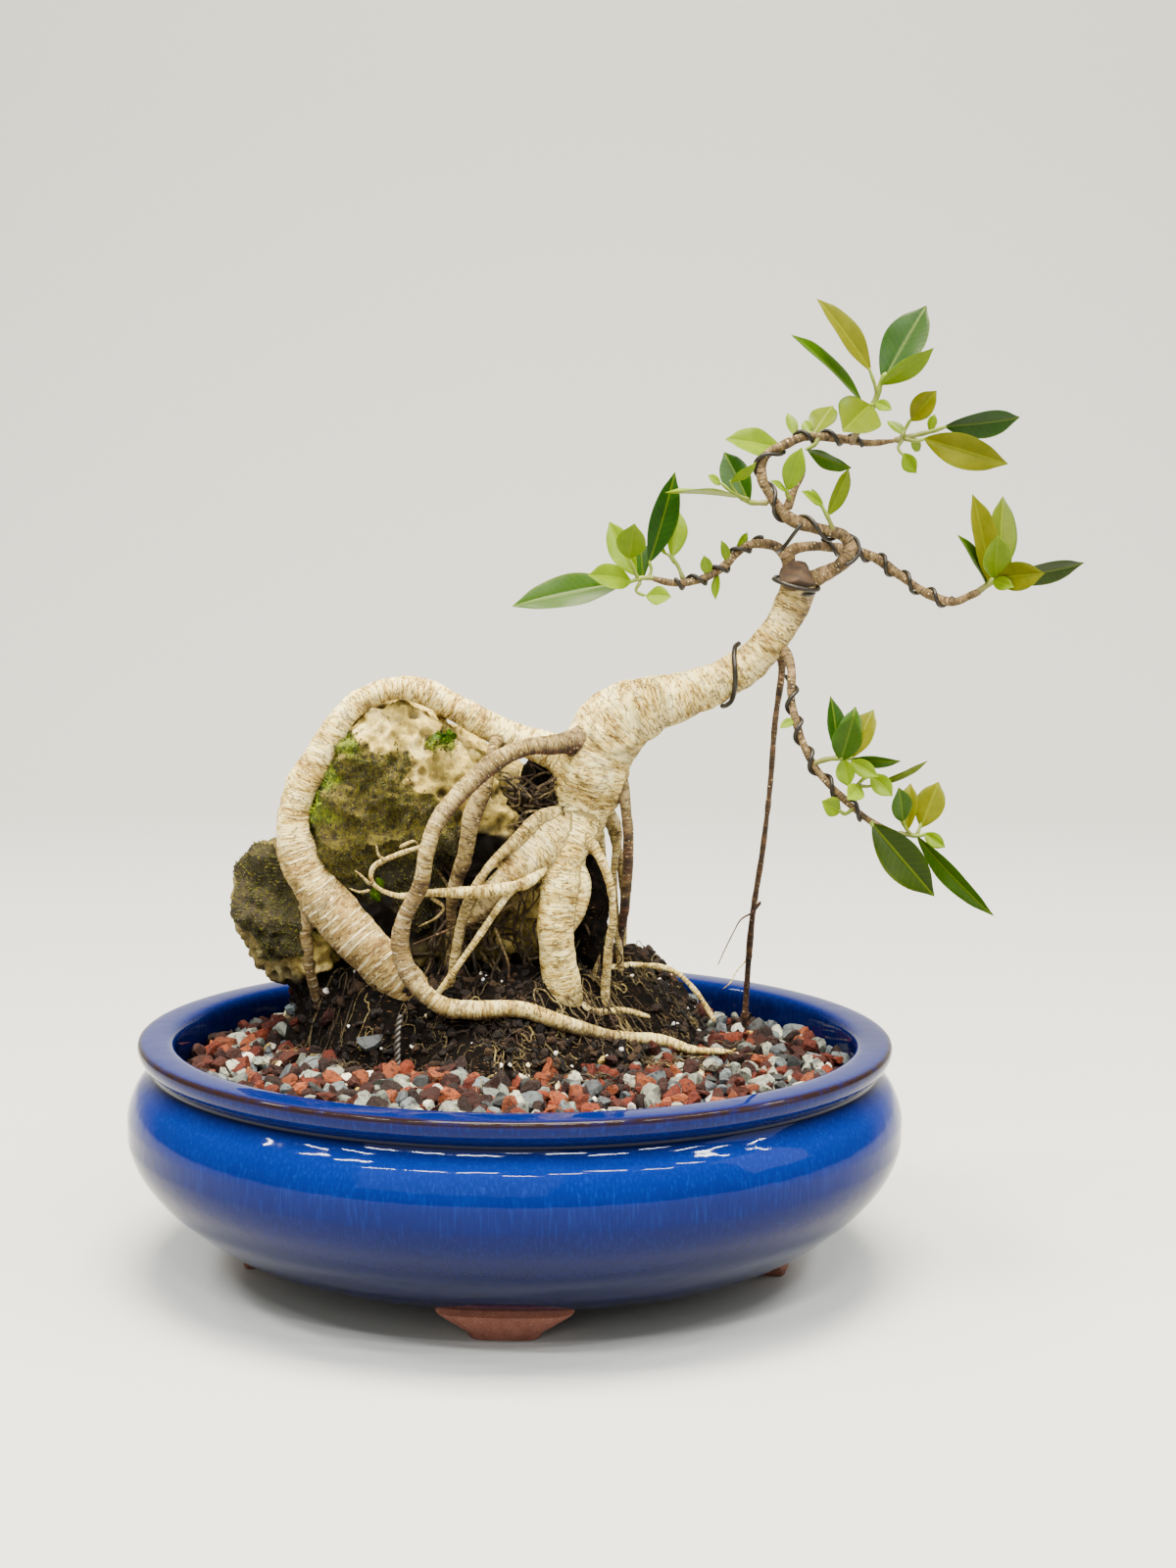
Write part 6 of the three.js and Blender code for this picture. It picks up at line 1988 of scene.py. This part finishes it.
@dataclass
class Studio:
    """Plain pale floor and wall, soft light from above, and the camera."""

    # The camera's place in millimetres, its focal length in pixels, and its three angles in radians
    place: tuple[float, float, float] = (44.0, -878.0, 337.5)
    focal_pixels: float = 2219.0
    drop: float = 0.15029
    yaw: float = -0.0168
    roll: float = 0.0074
    # Name, place and width and height in metres, power in watts and colour of each large lamp
    lamps: tuple[tuple[Any, ...], ...] = (
        ("overhead", (0.0, -0.3, 2.3), (1.1, 0.9), 250.0, "#fff4dc"),
        ("front", (-0.6, -2.2, 1.5), (2.2, 1.7), 19.0, "#fffaf2"),
        ("side", (1.9, -0.6, 1.2), (0.9, 1.2), 9.0, "#ffffff"),
    )

    def camera(self) -> None:
        """Set the camera, whose lens is 36 mm times the focal length in pixels over the frame's height."""
        data = bpy.data.cameras.new("camera")
        data.sensor_width, data.sensor_fit = 36.0, "AUTO"
        data.lens = 36.0 * self.focal_pixels / 1600.0
        data.clip_start, data.clip_end = 0.05, 20.0
        level = math.cos(self.drop)
        forward = np.array([math.sin(self.yaw) * level, math.cos(self.yaw) * level, -math.sin(self.drop)])
        right = np.array([math.cos(self.yaw), -math.sin(self.yaw), 0.0])
        up = np.cross(right, forward)
        across = right * math.cos(self.roll) + up * math.sin(self.roll)
        up = up * math.cos(self.roll) - right * math.sin(self.roll)
        matrix = np.identity(4)
        matrix[:3] = np.column_stack([across, up, -forward, (self.place + CENTRE) / 1000.0])
        camera = MAKER.placed("camera", data)
        camera.matrix_world = Matrix(matrix.tolist())
        bpy.context.scene.camera = camera

    def sweep(self) -> None:
        """A floor that curves up into a wall behind: a profile of floor, quarter circle and wall."""
        turn = np.linspace(0, np.pi / 2, 20)
        y = np.concatenate([[-6.0], 1.2 + 0.8 * np.sin(turn), [2.0]])
        z = np.concatenate([[0.0], 0.8 - 0.8 * np.cos(turn), [5.0]])
        x = np.linspace(-5, 5, 3)
        grid = np.stack(np.broadcast_arrays(x[None, :], y[:, None], z[:, None]), axis=-1) * 1000 - CENTRE
        grid[..., 2] -= 0.2
        mesh = MAKER.mesh("studio_sweep", loft(grid, around=False))
        mesh.flip_normals()
        mesh.materials.append(PaintedSweep("Pale painted sweep").material())
        mesh.shade_smooth()
        floor = MAKER.placed("studio_sweep", mesh)

    def lamp(self, name: str, place: tuple[float, float, float], aim: tuple[float, float, float],
             size: tuple[float, float], power: float, tone: str = "#ffffff") -> None:
        """Hang a soft rectangular lamp.

        Args:
            name: its name.
            place: its middle in metres.
            aim: where it points, in metres.
            size: its width and height in metres.
            power: its power in watts.
            tone: its colour.
        """
        data = bpy.data.lights.new(name, "AREA")
        data.shape, data.size, data.size_y, data.energy = "RECTANGLE", size[0], size[1], power
        data.color = linear(tone)[:3]
        lamp = MAKER.placed(name, data)
        back = Vector([p - a for p, a in zip(place, aim)])
        lamp.rotation_euler = back.to_track_quat("Z", "Y").to_euler()
        lamp.location = place

    def build(self) -> None:
        """Set the camera, the sweep, the lamps, with strips of light in an arc before the pot, and the sky."""
        self.camera()
        self.sweep()
        for k, degrees in enumerate(range(-98, 99, 14)):
            turn, reach = math.radians(degrees), (1.3, 1.65, 1.45)[k % 3]
            x, y = reach * math.sin(turn), -reach * math.cos(turn)
            self.lamp(f"strip_{k}", (x, y, 1.75), (x, y * 0.9, 0.0), (0.3, 0.04), 13.0)
        for name, place, size, power, tone in self.lamps:
            self.lamp(name, place, (0.0, 0.0, 0.15), size, power, tone)
        world = bpy.data.worlds.new("sky")
        world.use_nodes = True
        tree = world.node_tree
        tree.nodes.clear()
        sky = add(tree, "Background", {"Color": "#e8ecf0", "Strength": 0.43})
        tree.links.new(sky, tree.nodes.new("ShaderNodeOutputWorld").inputs["Surface"])
        bpy.context.scene.world = world


def main() -> None:
    """Build the tree from the pot upwards."""
    logging.basicConfig(level=logging.INFO, format="%(name)s: %(message)s")
    for part in (Studio(), Pot(), Ground(), Rock(), Wood(), Foliage(), Wires()):
        LOG.info("building %s", type(part).__name__)
        part.build()


if __name__ == "__main__":
    main()
